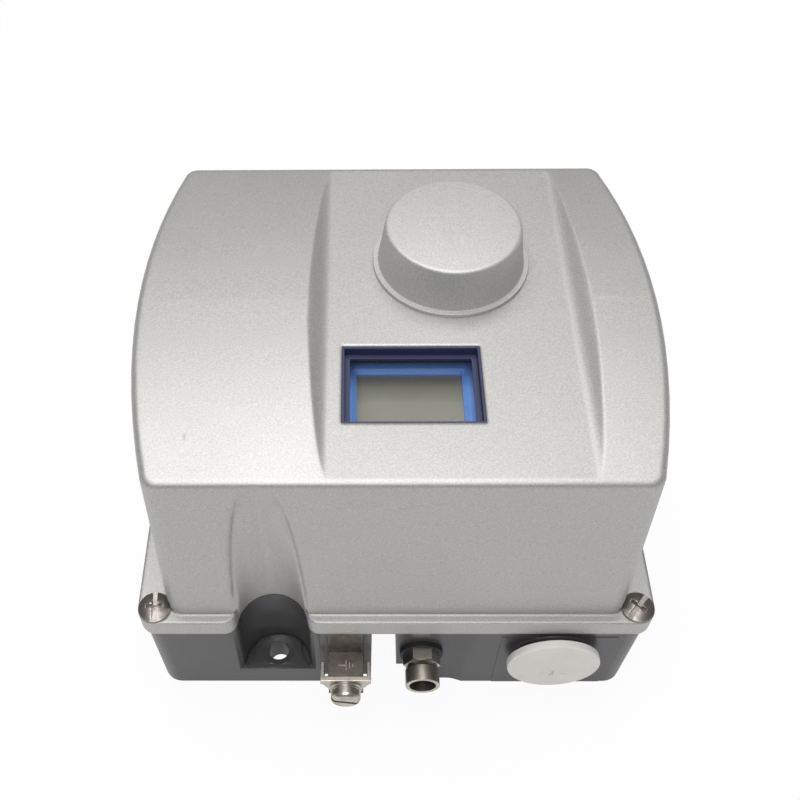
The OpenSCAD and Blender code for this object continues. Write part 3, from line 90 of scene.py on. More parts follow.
class Wire:
    """A shader socket that takes part in Python expressions."""

    def __init__(self, sheet: NodeSheet, socket: bpy.types.NodeSocket) -> None:
        """Keeps the socket and the sheet that it lies on."""
        self.sheet = sheet
        self.socket = socket

    def _math(self, operation: str, first: Term, second: Term) -> Wire:
        """Adds one Math node.

        Args:
            operation: The Math node's operation.
            first: Its first value.
            second: Its second value.

        Returns:
            The node's result.
        """
        node = self.sheet.node("ShaderNodeMath", {"operation": operation}, {0: first, 1: second})
        return Wire(self.sheet, node.outputs[0])

    def __add__(self, other: Term) -> Wire:
        """Sum."""
        return self._math("ADD", self, other)

    def __radd__(self, other: Term) -> Wire:
        """Sum with a number on the left."""
        return self._math("ADD", other, self)

    def __sub__(self, other: Term) -> Wire:
        """Difference."""
        return self._math("SUBTRACT", self, other)

    def __rsub__(self, other: Term) -> Wire:
        """Difference from a number on the left."""
        return self._math("SUBTRACT", other, self)

    def __mul__(self, other: Term) -> Wire:
        """Product."""
        return self._math("MULTIPLY", self, other)

    def __rmul__(self, other: Term) -> Wire:
        """Product with a number on the left."""
        return self._math("MULTIPLY", other, self)

    def __truediv__(self, other: Term) -> Wire:
        """Quotient."""
        return self._math("DIVIDE", self, other)

    def __rtruediv__(self, other: Term) -> Wire:
        """Quotient of a number on the left."""
        return self._math("DIVIDE", other, self)

    def most(self, other: Term) -> Wire:
        """The larger of two values."""
        return self._math("MAXIMUM", self, other)


Term = Union[Wire, float]


class NodeSheet:
    """The node tree of one material or of the world."""

    def __init__(self, owner: Any) -> None:
        """Empties the owner's node tree and keeps it.

        Args:
            owner: A material or a world.
        """
        owner.use_nodes = True
        self.owner = owner
        self.tree = owner.node_tree
        self.tree.nodes.clear()
        self._place: Wire | None = None

    def node(self, kind: str, settings: dict[str, Any] | None = None,
             sockets: dict[Any, Any] | None = None) -> bpy.types.Node:
        """Adds one node.

        Args:
            kind: The node's type.
            settings: Its own settings, set first.
            sockets: Values or wires for its inputs, by name or by number.

        Returns:
            The new node.
        """
        made = self.tree.nodes.new(kind)
        for key, value in (settings or {}).items():
            setattr(made, key, value)
        for key, value in (sockets or {}).items():
            target = made.inputs[key]
            if isinstance(value, Wire):
                self.tree.links.new(value.socket, target)
            else:
                target.default_value = value
        return made

    def place(self) -> Wire:
        """Object coordinates, from one node for the whole sheet.

        Returns:
            The coordinates.
        """
        if self._place is None:
            made = self.node("ShaderNodeTexCoord")
            self._place = Wire(self, made.outputs["Object"])
        return self._place

    def axes(self) -> tuple[Wire, Wire, Wire]:
        """The three object coordinates as values.

        Returns:
            X, Y and Z in metres.
        """
        made = self.node("ShaderNodeSeparateXYZ", sockets={0: self.place()})
        return tuple(Wire(self, made.outputs[i]) for i in range(3))

    def stretched(self, scale: Point) -> Wire:
        """Object coordinates, stretched along the axes.

        Args:
            scale: Factor along each axis.

        Returns:
            The stretched coordinates.
        """
        made = self.node("ShaderNodeMapping", sockets={"Vector": self.place(), "Scale": scale})
        return Wire(self, made.outputs[0])

    def noise(self, scale: float, detail: float = 2.0, rough: float = 0.5,
              at: Wire | None = None) -> Wire:
        """A noise value between 0 and 1.

        Args:
            scale: Cells per metre.
            detail: Octaves.
            rough: Share of the higher octaves.
            at: Coordinates, by default the object's own.

        Returns:
            The noise value.
        """
        made = self.node("ShaderNodeTexNoise", sockets={
            "Vector": at or self.place(), "Scale": scale, "Detail": detail, "Roughness": rough})
        return Wire(self, made.outputs[0])

    def cells(self, scale: float) -> Wire:
        """Distance to the nearest cell point, for flecks and round pads.

        Args:
            scale: Cells per metre.

        Returns:
            The distance in cells.
        """
        made = self.node("ShaderNodeTexVoronoi", sockets={"Vector": self.place(), "Scale": scale})
        return Wire(self, made.outputs[0])

    def step(self, value: Wire, low: float, high: float) -> Wire:
        """Rises from 0 to 1 over a range of a value.

        Args:
            value: What is read.
            low: Where the result is still 0.
            high: Where the result is 1.

        Returns:
            The result, held between 0 and 1.
        """
        made = self.node("ShaderNodeMapRange", {"clamp": True}, {
            "Value": value, "From Min": low, "From Max": high})
        return Wire(self, made.outputs[0])

    def blend(self, share: Wire, first: Wire | Color, second: Wire | Color) -> Wire:
        """Mixes two colours.

        Args:
            share: Share of the second colour.
            first: Colour where the share is 0.
            second: Colour where the share is 1.

        Returns:
            The mixed colour.
        """
        made = self.node("ShaderNodeMix", {"data_type": "RGBA"}, {0: share, 6: first, 7: second})
        return Wire(self, made.outputs[2])

    def bump(self, height: Wire, depth: float, strength: float = 1.0,
             over: Wire | None = None) -> Wire:
        """A normal from a height.

        Args:
            height: Height between 0 and 1.
            depth: What a height of 1 stands for, in metres.
            strength: Share of the effect.
            over: The normal that is bumped, by default the surface's own.

        Returns:
            The bumped normal.
        """
        sockets = {"Height": height, "Distance": depth, "Strength": strength}
        if over is not None:
            sockets["Normal"] = over
        made = self.node("ShaderNodeBump", sockets=sockets)
        return Wire(self, made.outputs[0])

    def softened(self, radius: float, samples: int = 8) -> Wire:
        """A normal that runs softly round creases.

        Args:
            radius: How far the softness reaches, in metres.
            samples: Rays that look for creases.

        Returns:
            The softened normal.
        """
        made = self.node("ShaderNodeBevel", {"samples": samples}, {"Radius": radius})
        return Wire(self, made.outputs[0])

    def surface(self, **sockets: Any) -> None:
        """Ends the sheet with a Principled shader.

        Args:
            **sockets: Its inputs, with _ for a space in a name.
        """
        named = {key.replace("_", " "): value for key, value in sockets.items()}
        shader = self.node("ShaderNodeBsdfPrincipled", sockets=named)
        self.node("ShaderNodeOutputMaterial", sockets={"Surface": Wire(self, shader.outputs[0])})


def grey(level: float) -> Color:
    """A neutral colour.

    Args:
        level: Level of its three channels.

    Returns:
        The colour.
    """
    return (level, level, level, 1.0)


def shade(color: Color, factor: float) -> Color:
    """A colour made lighter or darker.

    Args:
        color: What is changed.
        factor: Factor on its three channels.

    Returns:
        The changed colour.
    """
    return (color[0] * factor, color[1] * factor, color[2] * factor, 1.0)


@dataclass(frozen=True)
class Finish:
    """A finish that makes its material once."""

    name: str

    def material(self) -> bpy.types.Material:
        """Finds the finish's material, which is made at its first use.

        Returns:
            The material.
        """
        name = "finish_" + self.name
        found = bpy.data.materials.get(name)
        if found is None:
            found = bpy.data.materials.new(name)
            self.draw(NodeSheet(found))
        return found

    def draw(self, sheet: NodeSheet) -> None:
        """Fills the material's sheet.

        Args:
            sheet: The material's sheet.
        """
        raise NotImplementedError


@dataclass(frozen=True)
class CastSilver(Finish):
    """Satin silver lacquer on a casting, with a fine speckle and a little wear."""

    color: Color = (0.48, 0.475, 0.46, 1.0)
    grain: float = 2600.0
    rough: float = 0.47
    metal: float = 0.65
    soft: float = 1.4 * MM
    worn: bool = True
    scuff: Color = (0.10, 0.10, 0.105, 1.0)
    scuff_zone: tuple[Span, Span, Span] = (
        (-36.0 * MM, -62.0 * MM), (-30.0 * MM, -60.0 * MM), (100.0 * MM, 106.0 * MM))
    bare_zone: tuple[Span, Span, Span] = (
        (50.0 * MM, 64.0 * MM), (-40.0 * MM, -60.0 * MM), (100.0 * MM, 107.0 * MM))

    def draw(self, sheet: NodeSheet) -> None:
        """Speckle, cloudy gloss, fine pits and, where worn, scuffs at the front corners.

        Args:
            sheet: The material's sheet.
        """
        speck = sheet.noise(self.grain, 2.0, 0.6)
        fleck = sheet.cells(self.grain * 0.55)
        cloud = sheet.noise(28.0, 3.0, 0.55)
        tone = sheet.step(speck, 0.32, 0.68)
        color = sheet.blend(tone, shade(self.color, 0.84), shade(self.color, 1.14))
        glint = sheet.step(fleck, 0.16, 0.05)
        color = sheet.blend(glint * 0.35, color, grey(0.80))
        rough = self.rough + 0.10 * (speck - 0.5) + 0.10 * (cloud - 0.5)
        if self.worn:
            streak = sheet.noise(260.0, 3.0, 0.6, sheet.stretched((2.2, 0.7, 1.0)))
            scuffs = self._zone(sheet, self.scuff_zone) * sheet.step(streak, 0.685, 0.72)
            color = sheet.blend(scuffs * 0.75, color, self.scuff)
            patch = sheet.noise(420.0, 3.0, 0.6)
            bare = self._zone(sheet, self.bare_zone) * sheet.step(patch, 0.58, 0.66)
            color = sheet.blend(bare * 0.4, color, grey(0.66))
        height = 0.7 * speck + 0.3 * sheet.noise(self.grain * 0.4, 2.0, 0.5)
        normal = sheet.bump(height, 0.05 * MM, 0.55, sheet.softened(self.soft))
        sheet.surface(Base_Color=color, Metallic=self.metal, Roughness=rough, Normal=normal)

    @staticmethod
    def _zone(sheet: NodeSheet, spans: tuple[Span, Span, Span]) -> Wire:
        """Mask of a corner of the casting.

        Args:
            sheet: The material's sheet.
            spans: Along X, Y and Z, where the zone begins and where it is full.

        Returns:
            The mask.
        """
        x, y, z = (sheet.step(axis, *span) for axis, span in zip(sheet.axes(), spans))
        return x * y * z


@dataclass(frozen=True)
class MouldedBlack(Finish):
    """Semi-gloss black polymer with a fine moulded grain and traces of handling."""

    color: Color = (0.056, 0.056, 0.058, 1.0)
    dust: Color = (0.16, 0.16, 0.16, 1.0)
    rough: float = 0.33
    grain: float = 1900.0

    def draw(self, sheet: NodeSheet) -> None:
        """Cloudy gloss, faint dust and a fine grain.

        Args:
            sheet: The material's sheet.
        """
        grain = sheet.noise(self.grain, 2.0, 0.5)
        smear = sheet.noise(45.0, 4.0, 0.6, sheet.stretched((1.0, 1.0, 2.2)))
        dust = sheet.step(sheet.noise(700.0, 4.0, 0.7), 0.60, 0.78) * sheet.step(smear, 0.45, 0.65)
        color = sheet.blend(dust * 0.35, self.color, self.dust)
        color = sheet.blend(sheet.step(smear, 0.3, 0.7) * 0.3, color, shade(self.color, 1.7))
        rough = self.rough + 0.16 * (smear - 0.5) + 0.08 * (grain - 0.5)
        sheet.surface(Base_Color=color, Roughness=rough, IOR=1.5,
                      Normal=sheet.bump(grain, 0.03 * MM, 0.5))


@dataclass(frozen=True)
class PlatedMetal(Finish):
    """Bright plate or bare metal with handling marks and tarnish."""

    color: Color = (0.60, 0.56, 0.50, 1.0)
    dull: Color = (0.22, 0.19, 0.16, 1.0)
    rough: float = 0.30
    tarnish: float = 0.5
    lines: Point = (1.0, 1.0, 1.0)

    def draw(self, sheet: NodeSheet) -> None:
        """Tarnish in patches, fine tool lines and uneven gloss.

        Args:
            sheet: The material's sheet.
        """
        patch = sheet.noise(330.0, 4.0, 0.62)
        line = sheet.noise(900.0, 3.0, 0.6, sheet.stretched(self.lines))
        stain = sheet.step(patch, 0.46, 0.70)
        color = sheet.blend(stain * self.tarnish, self.color, self.dull)
        color = sheet.blend(sheet.step(line, 0.35, 0.65) * 0.25, color, shade(self.color, 0.72))
        rough = self.rough + 0.22 * stain * self.tarnish + 0.14 * (line - 0.5)
        sheet.surface(Base_Color=color, Metallic=1.0, Roughness=rough,
                      Normal=sheet.bump(line, 0.02 * MM, 0.5))


@dataclass(frozen=True)
class MatteMoulding(Finish):
    """Matte moulded plastic or rubber with a soft grain."""

    color: Color = (0.68, 0.67, 0.63, 1.0)
    rough: float = 0.5
    grain: float = 1500.0
    mottle: float = 0.10

    def draw(self, sheet: NodeSheet) -> None:
        """A slight mottle, a soft grain and specks of dust.

        Args:
            sheet: The material's sheet.
        """
        grain = sheet.noise(self.grain, 2.0, 0.5)
        mottle = sheet.noise(90.0, 3.0, 0.6)
        color = sheet.blend(sheet.step(mottle, 0.3, 0.7), shade(self.color, 1.0 - self.mottle),
                            shade(self.color, 1.0 + self.mottle * 0.6))
        speck = sheet.step(sheet.noise(1200.0, 2.0, 0.5), 0.70, 0.76)
        color = sheet.blend(speck * 0.3, color, shade(self.color, 0.6))
        rough = self.rough + 0.12 * (grain - 0.5) + 0.08 * (mottle - 0.5)
        sheet.surface(Base_Color=color, Roughness=rough,
                      Normal=sheet.bump(grain, 0.03 * MM, 0.5))


@dataclass(frozen=True)
class ClearPane(Finish):
    """Clear pane with a faint haze of wiping marks."""

    color: Color = (0.06, 0.07, 0.08, 1.0)
    body: float = 0.04

    def draw(self, sheet: NodeSheet) -> None:
        """A thin body colour, gloss and soft smears.

        Args:
            sheet: The material's sheet.
        """
        smear = sheet.noise(120.0, 4.0, 0.6, sheet.stretched((1.0, 3.0, 1.0)))
        haze = sheet.step(smear, 0.4, 0.8)
        sheet.surface(Base_Color=self.color, Roughness=0.04 + 0.10 * haze,
                      Alpha=self.body + 0.03 * haze, IOR=1.49)


@dataclass(frozen=True)
class LiquidCrystal(Finish):
    """Idle grey-green display, with painted shade as a darker band along its rear edge."""

    color: Color = (0.255, 0.255, 0.205, 1.0)
    # colour of the painted shade along the rear edge of the display
    band: Color = (0.190, 0.190, 0.175, 1.0)
    rear_shade_span: Span = (-19.5 * MM, -16.9 * MM)

    def draw(self, sheet: NodeSheet) -> None:
        """A fine raster, a soft band of painted shade at the rear and uneven gloss.

        Args:
            sheet: The material's sheet.
        """
        _, y, _ = sheet.axes()
        raster = sheet.noise(2600.0, 1.0, 0.4)
        cloud = sheet.noise(60.0, 2.0, 0.5)
        color = sheet.blend(sheet.step(cloud, 0.3, 0.7), shade(self.color, 0.96),
                            shade(self.color, 1.05))
        # painted shade: the display is darker in a band along its rear edge, where the window's rear
        # wall shades it
        color = sheet.blend(sheet.step(y, *self.rear_shade_span), color, self.band)
        color = sheet.blend(sheet.step(raster, 0.4, 0.6) * 0.12, color, shade(self.color, 0.8))
        sheet.surface(Base_Color=color, Roughness=0.26 + 0.06 * (cloud - 0.5))


@dataclass(frozen=True)
class CircuitBoard(Finish):
    """Green solder mask with faint tracks and tinned pads."""

    mask: Color = (0.018, 0.095, 0.045, 1.0)
    track: Color = (0.040, 0.170, 0.085, 1.0)
    tin: Color = (0.55, 0.54, 0.50, 1.0)

    def draw(self, sheet: NodeSheet) -> None:
        """Tracks from a brick pattern, round tinned pads and a soft gloss.

        Args:
            sheet: The material's sheet.
        """
        made = sheet.node("ShaderNodeTexBrick", {"offset": 0.37, "squash": 1.0}, {
            "Vector": sheet.place(), "Scale": 130.0, "Color1": grey(0.0), "Color2": grey(0.0),
            "Mortar": grey(1.0), "Mortar Size": 0.035, "Brick Width": 0.62, "Row Height": 0.21})
        track = Wire(sheet, made.outputs[1])
        pads = sheet.step(sheet.cells(340.0), 0.20, 0.14)
        color = sheet.blend(track * 0.9, self.mask, self.track)
        color = sheet.blend(pads, color, self.tin)
        sheet.surface(Base_Color=color, Roughness=0.38 - 0.12 * pads, Metallic=0.8 * pads,
                      Normal=sheet.bump(track, 0.03 * MM, 0.6))


@dataclass(frozen=True)
class WoundCopper(Finish):
    """Enamelled winding with its turns along Z."""

    color: Color = (0.42, 0.17, 0.055, 1.0)

    def draw(self, sheet: NodeSheet) -> None:
        """Turns of wire as fine rings, with painted shade in the grooves between the turns.

        Args:
            sheet: The material's sheet.
        """
        made = sheet.node("ShaderNodeTexWave", {"bands_direction": "Z"}, {
            "Vector": sheet.place(), "Scale": 420.0, "Distortion": 0.3})
        turn = Wire(sheet, made.outputs[1])
        # painted shade: the wire is darker in the grooves between the turns
        color = sheet.blend(turn, shade(self.color, 0.45), self.color)
        sheet.surface(Base_Color=color, Metallic=0.8, Roughness=0.4 - 0.1 * turn,
                      Normal=sheet.bump(turn, 0.15 * MM, 0.8))


class Paint(Enum):
    """The finishes of the positioner."""

    COVER = CastSilver("cast_silver")
    CAP = CastSilver("cap_silver", color=(0.53, 0.525, 0.51, 1.0), metal=0.42, soft=0.3 * MM,
                     worn=False)
    HOUSING = MouldedBlack("moulded_black")
    NICKEL = PlatedMetal("nickel_plate")
    PAD = PlatedMetal("dull_nickel", color=(0.185, 0.168, 0.152, 1.0),
                      dull=(0.085, 0.075, 0.068, 1.0), rough=0.42, tarnish=0.7)
    SCREW = PlatedMetal("screw_plate", color=(0.31, 0.285, 0.26, 1.0),
                        dull=(0.13, 0.115, 0.10, 1.0), rough=0.30, tarnish=0.6)
    STEEL = PlatedMetal("bare_steel", color=(0.56, 0.57, 0.58, 1.0),
                        dull=(0.36, 0.36, 0.36, 1.0), rough=0.32, tarnish=0.3)
    BRASS = PlatedMetal("turned_brass", color=(0.72, 0.52, 0.22, 1.0),
                        dull=(0.40, 0.27, 0.10, 1.0), rough=0.28, tarnish=0.4)
    ALLOY = PlatedMetal("milled_alloy", color=(0.62, 0.62, 0.61, 1.0),
                        dull=(0.46, 0.46, 0.46, 1.0), rough=0.40, tarnish=0.3, lines=(0.2, 3.0, 1.0))
    RUBBER = MatteMoulding("black_rubber", color=(0.020, 0.020, 0.022, 1.0), rough=0.62)
    GASKET = MatteMoulding("window_frame_navy", color=(0.030, 0.036, 0.095, 1.0), rough=0.50)
    PLUG = MatteMoulding("plug_white", color=(0.80, 0.785, 0.735, 1.0), rough=0.55, mottle=0.06)
    PANE = ClearPane("clear_pane")
    BEZEL = MatteMoulding("bezel_blue", color=(0.180, 0.390, 0.960, 1.0), rough=0.42, grain=1800.0,
                          mottle=0.05)
    LCD = LiquidCrystal("idle_display")
    BOARD = CircuitBoard("solder_mask")
    TERMINAL = MatteMoulding("terminal_green", color=(0.030, 0.180, 0.070, 1.0), rough=0.48)
    KEY = MatteMoulding("key_grey", color=(0.58, 0.59, 0.60, 1.0), rough=0.5)
    SENSOR = MatteMoulding("sensor_blue", color=(0.020, 0.045, 0.170, 1.0), rough=0.42)
    POINTER = MatteMoulding("pointer_orange", color=(0.75, 0.20, 0.02, 1.0), rough=0.45)
    COPPER = WoundCopper("wound_copper")
    CLAMP = MatteMoulding("clamp_black", color=(0.022, 0.022, 0.024, 1.0), rough=0.5)

    def material(self) -> bpy.types.Material:
        """Finds the finish's material.

        Returns:
            The material.
        """
        return self.value.material()


def dress(piece: bpy.types.Object, paint: Paint) -> None:
    """Gives a piece one finish.

    Args:
        piece: The piece.
        paint: Its finish.
    """
    piece.data.materials.clear()
    piece.data.materials.append(paint.material())


def loose_piece(name: str, shape: bmesh.types.BMesh, paint: Paint) -> bpy.types.Object:
    """Makes a piece from a finished shape, on no body yet.

    Args:
        name: The piece's name.
        shape: Its shape, which is freed.
        paint: Its finish.

    Returns:
        The new piece.
    """
    mesh = bpy.data.meshes.new(name)
    shape.to_mesh(mesh)
    shape.free()
    piece = bpy.data.objects.new(name, mesh)
    bpy.context.scene.collection.objects.link(piece)
    dress(piece, paint)
    return piece


def add_piece(name: str, shape: bmesh.types.BMesh, paint: Paint, body: str) -> bpy.types.Object:
    """Makes a piece from a finished shape, on its body.

    Args:
        name: The piece's name.
        shape: Its shape, which is freed.
        paint: Its finish.
        body: The body that it rides on.

    Returns:
        The new piece.
    """
    piece = loose_piece(name, shape, paint)
    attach(piece, body)
    LOG.info("%s rides on %s", name, body)
    return piece


def even_shading(piece: bpy.types.Object) -> None:
    """Shades a piece smoothly between its sharp edges, with flat faces kept flat.

    Args:
        piece: The piece.
    """
    piece.data.shade_smooth()
    piece.data.set_sharp_from_angle(angle=math.radians(SHARP_ANGLE))
    weigh = piece.modifiers.new("even", "WEIGHTED_NORMAL")
    weigh.mode = "FACE_AREA"
    weigh.weight = 50
    weigh.keep_sharp = True


@dataclass
class EasedCopy:
    """A node's own solid with merged faces and, where a width is given, eased edges."""

    node: str
    paint: Paint
    body: str
    ease: float = 0.0
    segments: int = 2

    def build(self, frame: dict[str, Any]) -> None:
        """Copies the node's mesh, eases its edges and lets it stand for the node.

        Args:
            frame: The loaded frame.
        """
        shape = bmesh.new()
        shape.from_mesh(frame["nodes"][self.node].data)
        bmesh.ops.remove_doubles(shape, verts=shape.verts, dist=WELD)
        bmesh.ops.dissolve_limit(shape, angle_limit=math.radians(FLAT_ANGLE), verts=shape.verts,
                                 edges=shape.edges, use_dissolve_boundaries=False)
        self.refine(shape)
        piece = add_piece(self.node + "_eased", shape, self.paint, self.body)
        if self.ease:
            soft = piece.modifiers.new("eased_edges", "BEVEL")
            soft.width = self.ease
            soft.segments = self.segments
            soft.limit_method = "ANGLE"
            soft.angle_limit = math.radians(EASE_ANGLE)
            soft.profile = 0.5
            soft.use_clamp_overlap = True
            soft.miter_outer = "MITER_ARC"
        even_shading(piece)
        self.crease(piece)
        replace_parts(piece, self.node)

    def refine(self, shape: bmesh.types.BMesh) -> None:
        """Hook for more work on the merged shape.

        Args:
            shape: The merged shape.
        """

    def crease(self, piece: bpy.types.Object) -> None:
        """Hook for more sharp edges on the shaded piece.

        Args:
            piece: The shaded piece.
        """


@dataclass
class CoverCopy(EasedCopy):
    """The cover, with the centre band and its shoulders shaded apart from the arched panels."""

    band_low: float = 109.0 * MM
    straight_limit: float = 0.001
    upward_limit: float = 0.7

    def in_band(self, face: bmesh.types.BMFace) -> bool:
        """Tells the faces of the band and its shoulders, which run straight from front to rear.

        Args:
            face: A face of the cover.

        Returns:
            Whether it belongs to the band.
        """
        straight = abs(face.normal.y) < self.straight_limit
        upward = face.normal.z > self.upward_limit
        return straight and upward and face.calc_center_median().z > self.band_low

    def crease(self, piece: bpy.types.Object) -> None:
        """Sharpens the edges where the shoulders run out into the arched panels.

        Args:
            piece: The shaded cover.
        """
        shape = bmesh.new()
        shape.from_mesh(piece.data)
        shape.normal_update()
        band = {face.index for face in shape.faces if self.in_band(face)}
        for edge in shape.edges:
            if len({face.index in band for face in edge.link_faces}) == 2:
                edge.smooth = False
        shape.to_mesh(piece.data)
        shape.free()


@dataclass
class DomedCap(EasedCopy):
    """The cap, with a slight dome on its top and a soft rim."""

    sag: float = 0.60 * MM
    rim: float = 1.50 * MM
    rings: int = 6

    def refine(self, shape: bmesh.types.BMesh) -> None:
        """Divides the top into rings and lowers it towards its rim.

        Args:
            shape: The merged cap.
        """
        shape.normal_update()
        top = max(shape.faces, key=lambda face: face.calc_center_median().z)
        middle = top.calc_center_median()
        radius = max((vert.co - middle).length for vert in top.verts)
        for _ in range(self.rings):
            bmesh.ops.inset_region(shape, faces=[top], thickness=radius / (self.rings + 1),
                                   use_even_offset=True)
        foot = middle.z - self.rim
        for vert in shape.verts:
            if vert.co.z > foot:
                share = min(1.0, (vert.co - middle).to_2d().length / radius)
                vert.co.z = foot + (vert.co.z - foot) * (1.0 - self.sag / self.rim * share ** 2)


@dataclass
class Housing:
    """Moulded base with its gasket."""

    body: str = "base"

    def build(self, frame: dict[str, Any]) -> None:
        """Merges the faces of the base and its feet, and dresses the gasket.

        Args:
            frame: The loaded frame.
        """
        for node in ("base_housing", "lug_feet"):
            EasedCopy(node, Paint.HOUSING, self.body).build(frame)
        dress(frame["nodes"]["cover_gasket"], Paint.RUBBER)


@dataclass
class Cover:
    """Cast cover with its cap, window and screws."""

    body: str = "cover_group"
    cap_ease: float = 0.25 * MM
    screw_ease: float = 0.12 * MM
    plan: dict[str, Paint] = field(default_factory=lambda: {
        "cap_o_ring": Paint.RUBBER, "cap_clip": Paint.STEEL, "window_gasket": Paint.GASKET,
        "window_lens": Paint.PANE, "window_clamp": Paint.CLAMP, "window_screws": Paint.STEEL,
    })

    def build(self, frame: dict[str, Any]) -> None:
        """Copies the castings and the screws, and dresses the rest.

        Args:
            frame: The loaded frame.
        """
        CoverCopy("cover", Paint.COVER, self.body).build(frame)
        DomedCap("indicator_cap", Paint.CAP, self.body, self.cap_ease).build(frame)
        EasedCopy("cover_screws", Paint.SCREW, self.body, self.screw_ease).build(frame)
        for node, paint in self.plan.items():
            dress(frame["nodes"][node], paint)


@dataclass
class FrontFittings:
    """Earth terminal, exhaust fitting and conduit plug on the front."""

    body: str = "base"
    metal_ease: float = 0.18 * MM
    plug_ease: float = 0.15 * MM
    pad_top: float = 23.0 * MM
    mark_rise: float = 0.15 * MM
    mark_line: float = 0.40 * MM
    mark_edge: float = 0.06 * MM
    mark_y: float = -70.2 * MM
    mark_stem: Span = (-17.3 * MM, -14.9 * MM)
    mark_bars: tuple[Span, ...] = (
        (-14.9 * MM, 3.4 * MM), (-13.8 * MM, 2.2 * MM), (-12.8 * MM, 1.1 * MM))

    def build(self, frame: dict[str, Any]) -> None:
        """Eases the plated pieces and the plug, and raises the earth sign.

        Args:
            frame: The loaded frame.
        """
        self._earth_mark()
        EasedCopy("earth_block", Paint.PAD, self.body, self.metal_ease).build(frame)
        for node in ("earth_saddle", "earth_washers", "earth_screw", "vent_fitting"):
            EasedCopy(node, Paint.NICKEL, self.body, self.metal_ease).build(frame)
        EasedCopy("conduit_plug", Paint.PLUG, self.body, self.plug_ease).build(frame)
        for node in ("vent_seal", "conduit_seal"):
            dress(frame["nodes"][node], Paint.RUBBER)

    def _earth_mark(self) -> None:
        """Raises the earth sign on the pad: one stem and three bars that get shorter."""
        shape = bmesh.new()
        left, right = self.mark_stem
        strokes = [((left + right) / 2, right - left, self.mark_line)]
        strokes += [(x, self.mark_line, length) for x, length in self.mark_bars]
        for x, width, length in strokes:
            place = Vector((x, self.mark_y, self.pad_top))
            size = Vector((width, length, 2 * self.mark_rise))
            bmesh.ops.create_cube(shape, size=1.0, matrix=Matrix.LocRotScale(place, None, size))
        bmesh.ops.bevel(shape, geom=shape.edges[:], offset=self.mark_edge, offset_type="OFFSET",
                        segments=1, profile=0.5, affect="EDGES", material=-1)
        add_piece("earth_mark", shape, Paint.NICKEL, self.body)


@dataclass
class SpoolFollowers:
    """The return spring, as one loose copy, and the diaphragm, whose middle the spool carries."""

    fixed: str = "base"
    moving: str = "spool"
    disc_r: float = 5.9 * MM
    hole_r: float = 6.3 * MM
    sides: int = 48
    past_corner: float = 1.1

    def build(self, frame: dict[str, Any]) -> None:
        """Makes the coils and the two parts of the diaphragm.

        Args:
            frame: The loaded frame.
        """
        self._coils(frame["nodes"]["spool_spring"])
        corners = [Vector(corner) for corner in frame["nodes"]["diaphragm"].bound_box]
        low, high = corners[0], corners[6]
        self._rim(low, high)
        self._disc(low, high)

    def _coils(self, spring: bpy.types.Object) -> None:
        """Copies the spring as one smooth-shaded piece that stands for its node.

        Args:
            spring: The spring's node.
        """
        shape = bmesh.new()
        shape.from_mesh(spring.data)
        ends = sorted((vert.co.copy() for vert in shape.verts), key=lambda place: place.y)
        piece = loose_piece("spool_spring_coils", shape, Paint.STEEL)
        piece.data.shade_smooth()
        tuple(ends[0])
        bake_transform(piece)
        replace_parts(piece, "spool_spring")

    def _rim(self, low: Vector, high: Vector) -> None:
        """Makes the clamped part of the diaphragm, a plate with a round hole.

        Args:
            low: The diaphragm's lowest corner.
            high: Its highest corner.
        """
        shape = bmesh.new()
        middle = (low + high) / 2
        half = (high - low) / 2
        reach = self.past_corner * math.hypot(half.x, half.z)
        rows: list[list[bmesh.types.BMVert]] = []
        for y, is_hole in ((low.y, True), (low.y, False), (high.y, False), (high.y, True)):
            row = []
            for index in range(self.sides):
                turn = math.tau * index / self.sides
                across, up = math.cos(turn), math.sin(turn)
                if is_hole:
                    x, z = self.hole_r * across, self.hole_r * up
                else:
                    x = max(-half.x, min(half.x, reach * across))
                    z = max(-half.z, min(half.z, reach * up))
                row.append(shape.verts.new((middle.x + x, y, middle.z + z)))
            rows.append(row)
        for row, following in zip(rows, rows[1:] + rows[:1]):
            for index in range(self.sides):
                ahead = (index + 1) % self.sides
                shape.faces.new((row[index], row[ahead], following[ahead], following[index]))
        bmesh.ops.remove_doubles(shape, verts=shape.verts, dist=WELD)
        bmesh.ops.recalc_face_normals(shape, faces=shape.faces)
        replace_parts(add_piece("diaphragm_rim", shape, Paint.RUBBER, self.fixed), "diaphragm")

    def _disc(self, low: Vector, high: Vector) -> None:
        """Makes the middle of the diaphragm, which the spool carries.

        Args:
            low: The diaphragm's lowest corner.
            high: Its highest corner.
        """
        shape = bmesh.new()
        lie = Matrix.Rotation(math.radians(90.0), 4, "X")
        bmesh.ops.create_cone(shape, cap_ends=True, segments=self.sides, radius1=self.disc_r,
                              radius2=self.disc_r, depth=high.y - low.y,
                              matrix=Matrix.Translation((low + high) / 2) @ lie)
        add_piece("diaphragm_disc", shape, Paint.RUBBER, self.moving)


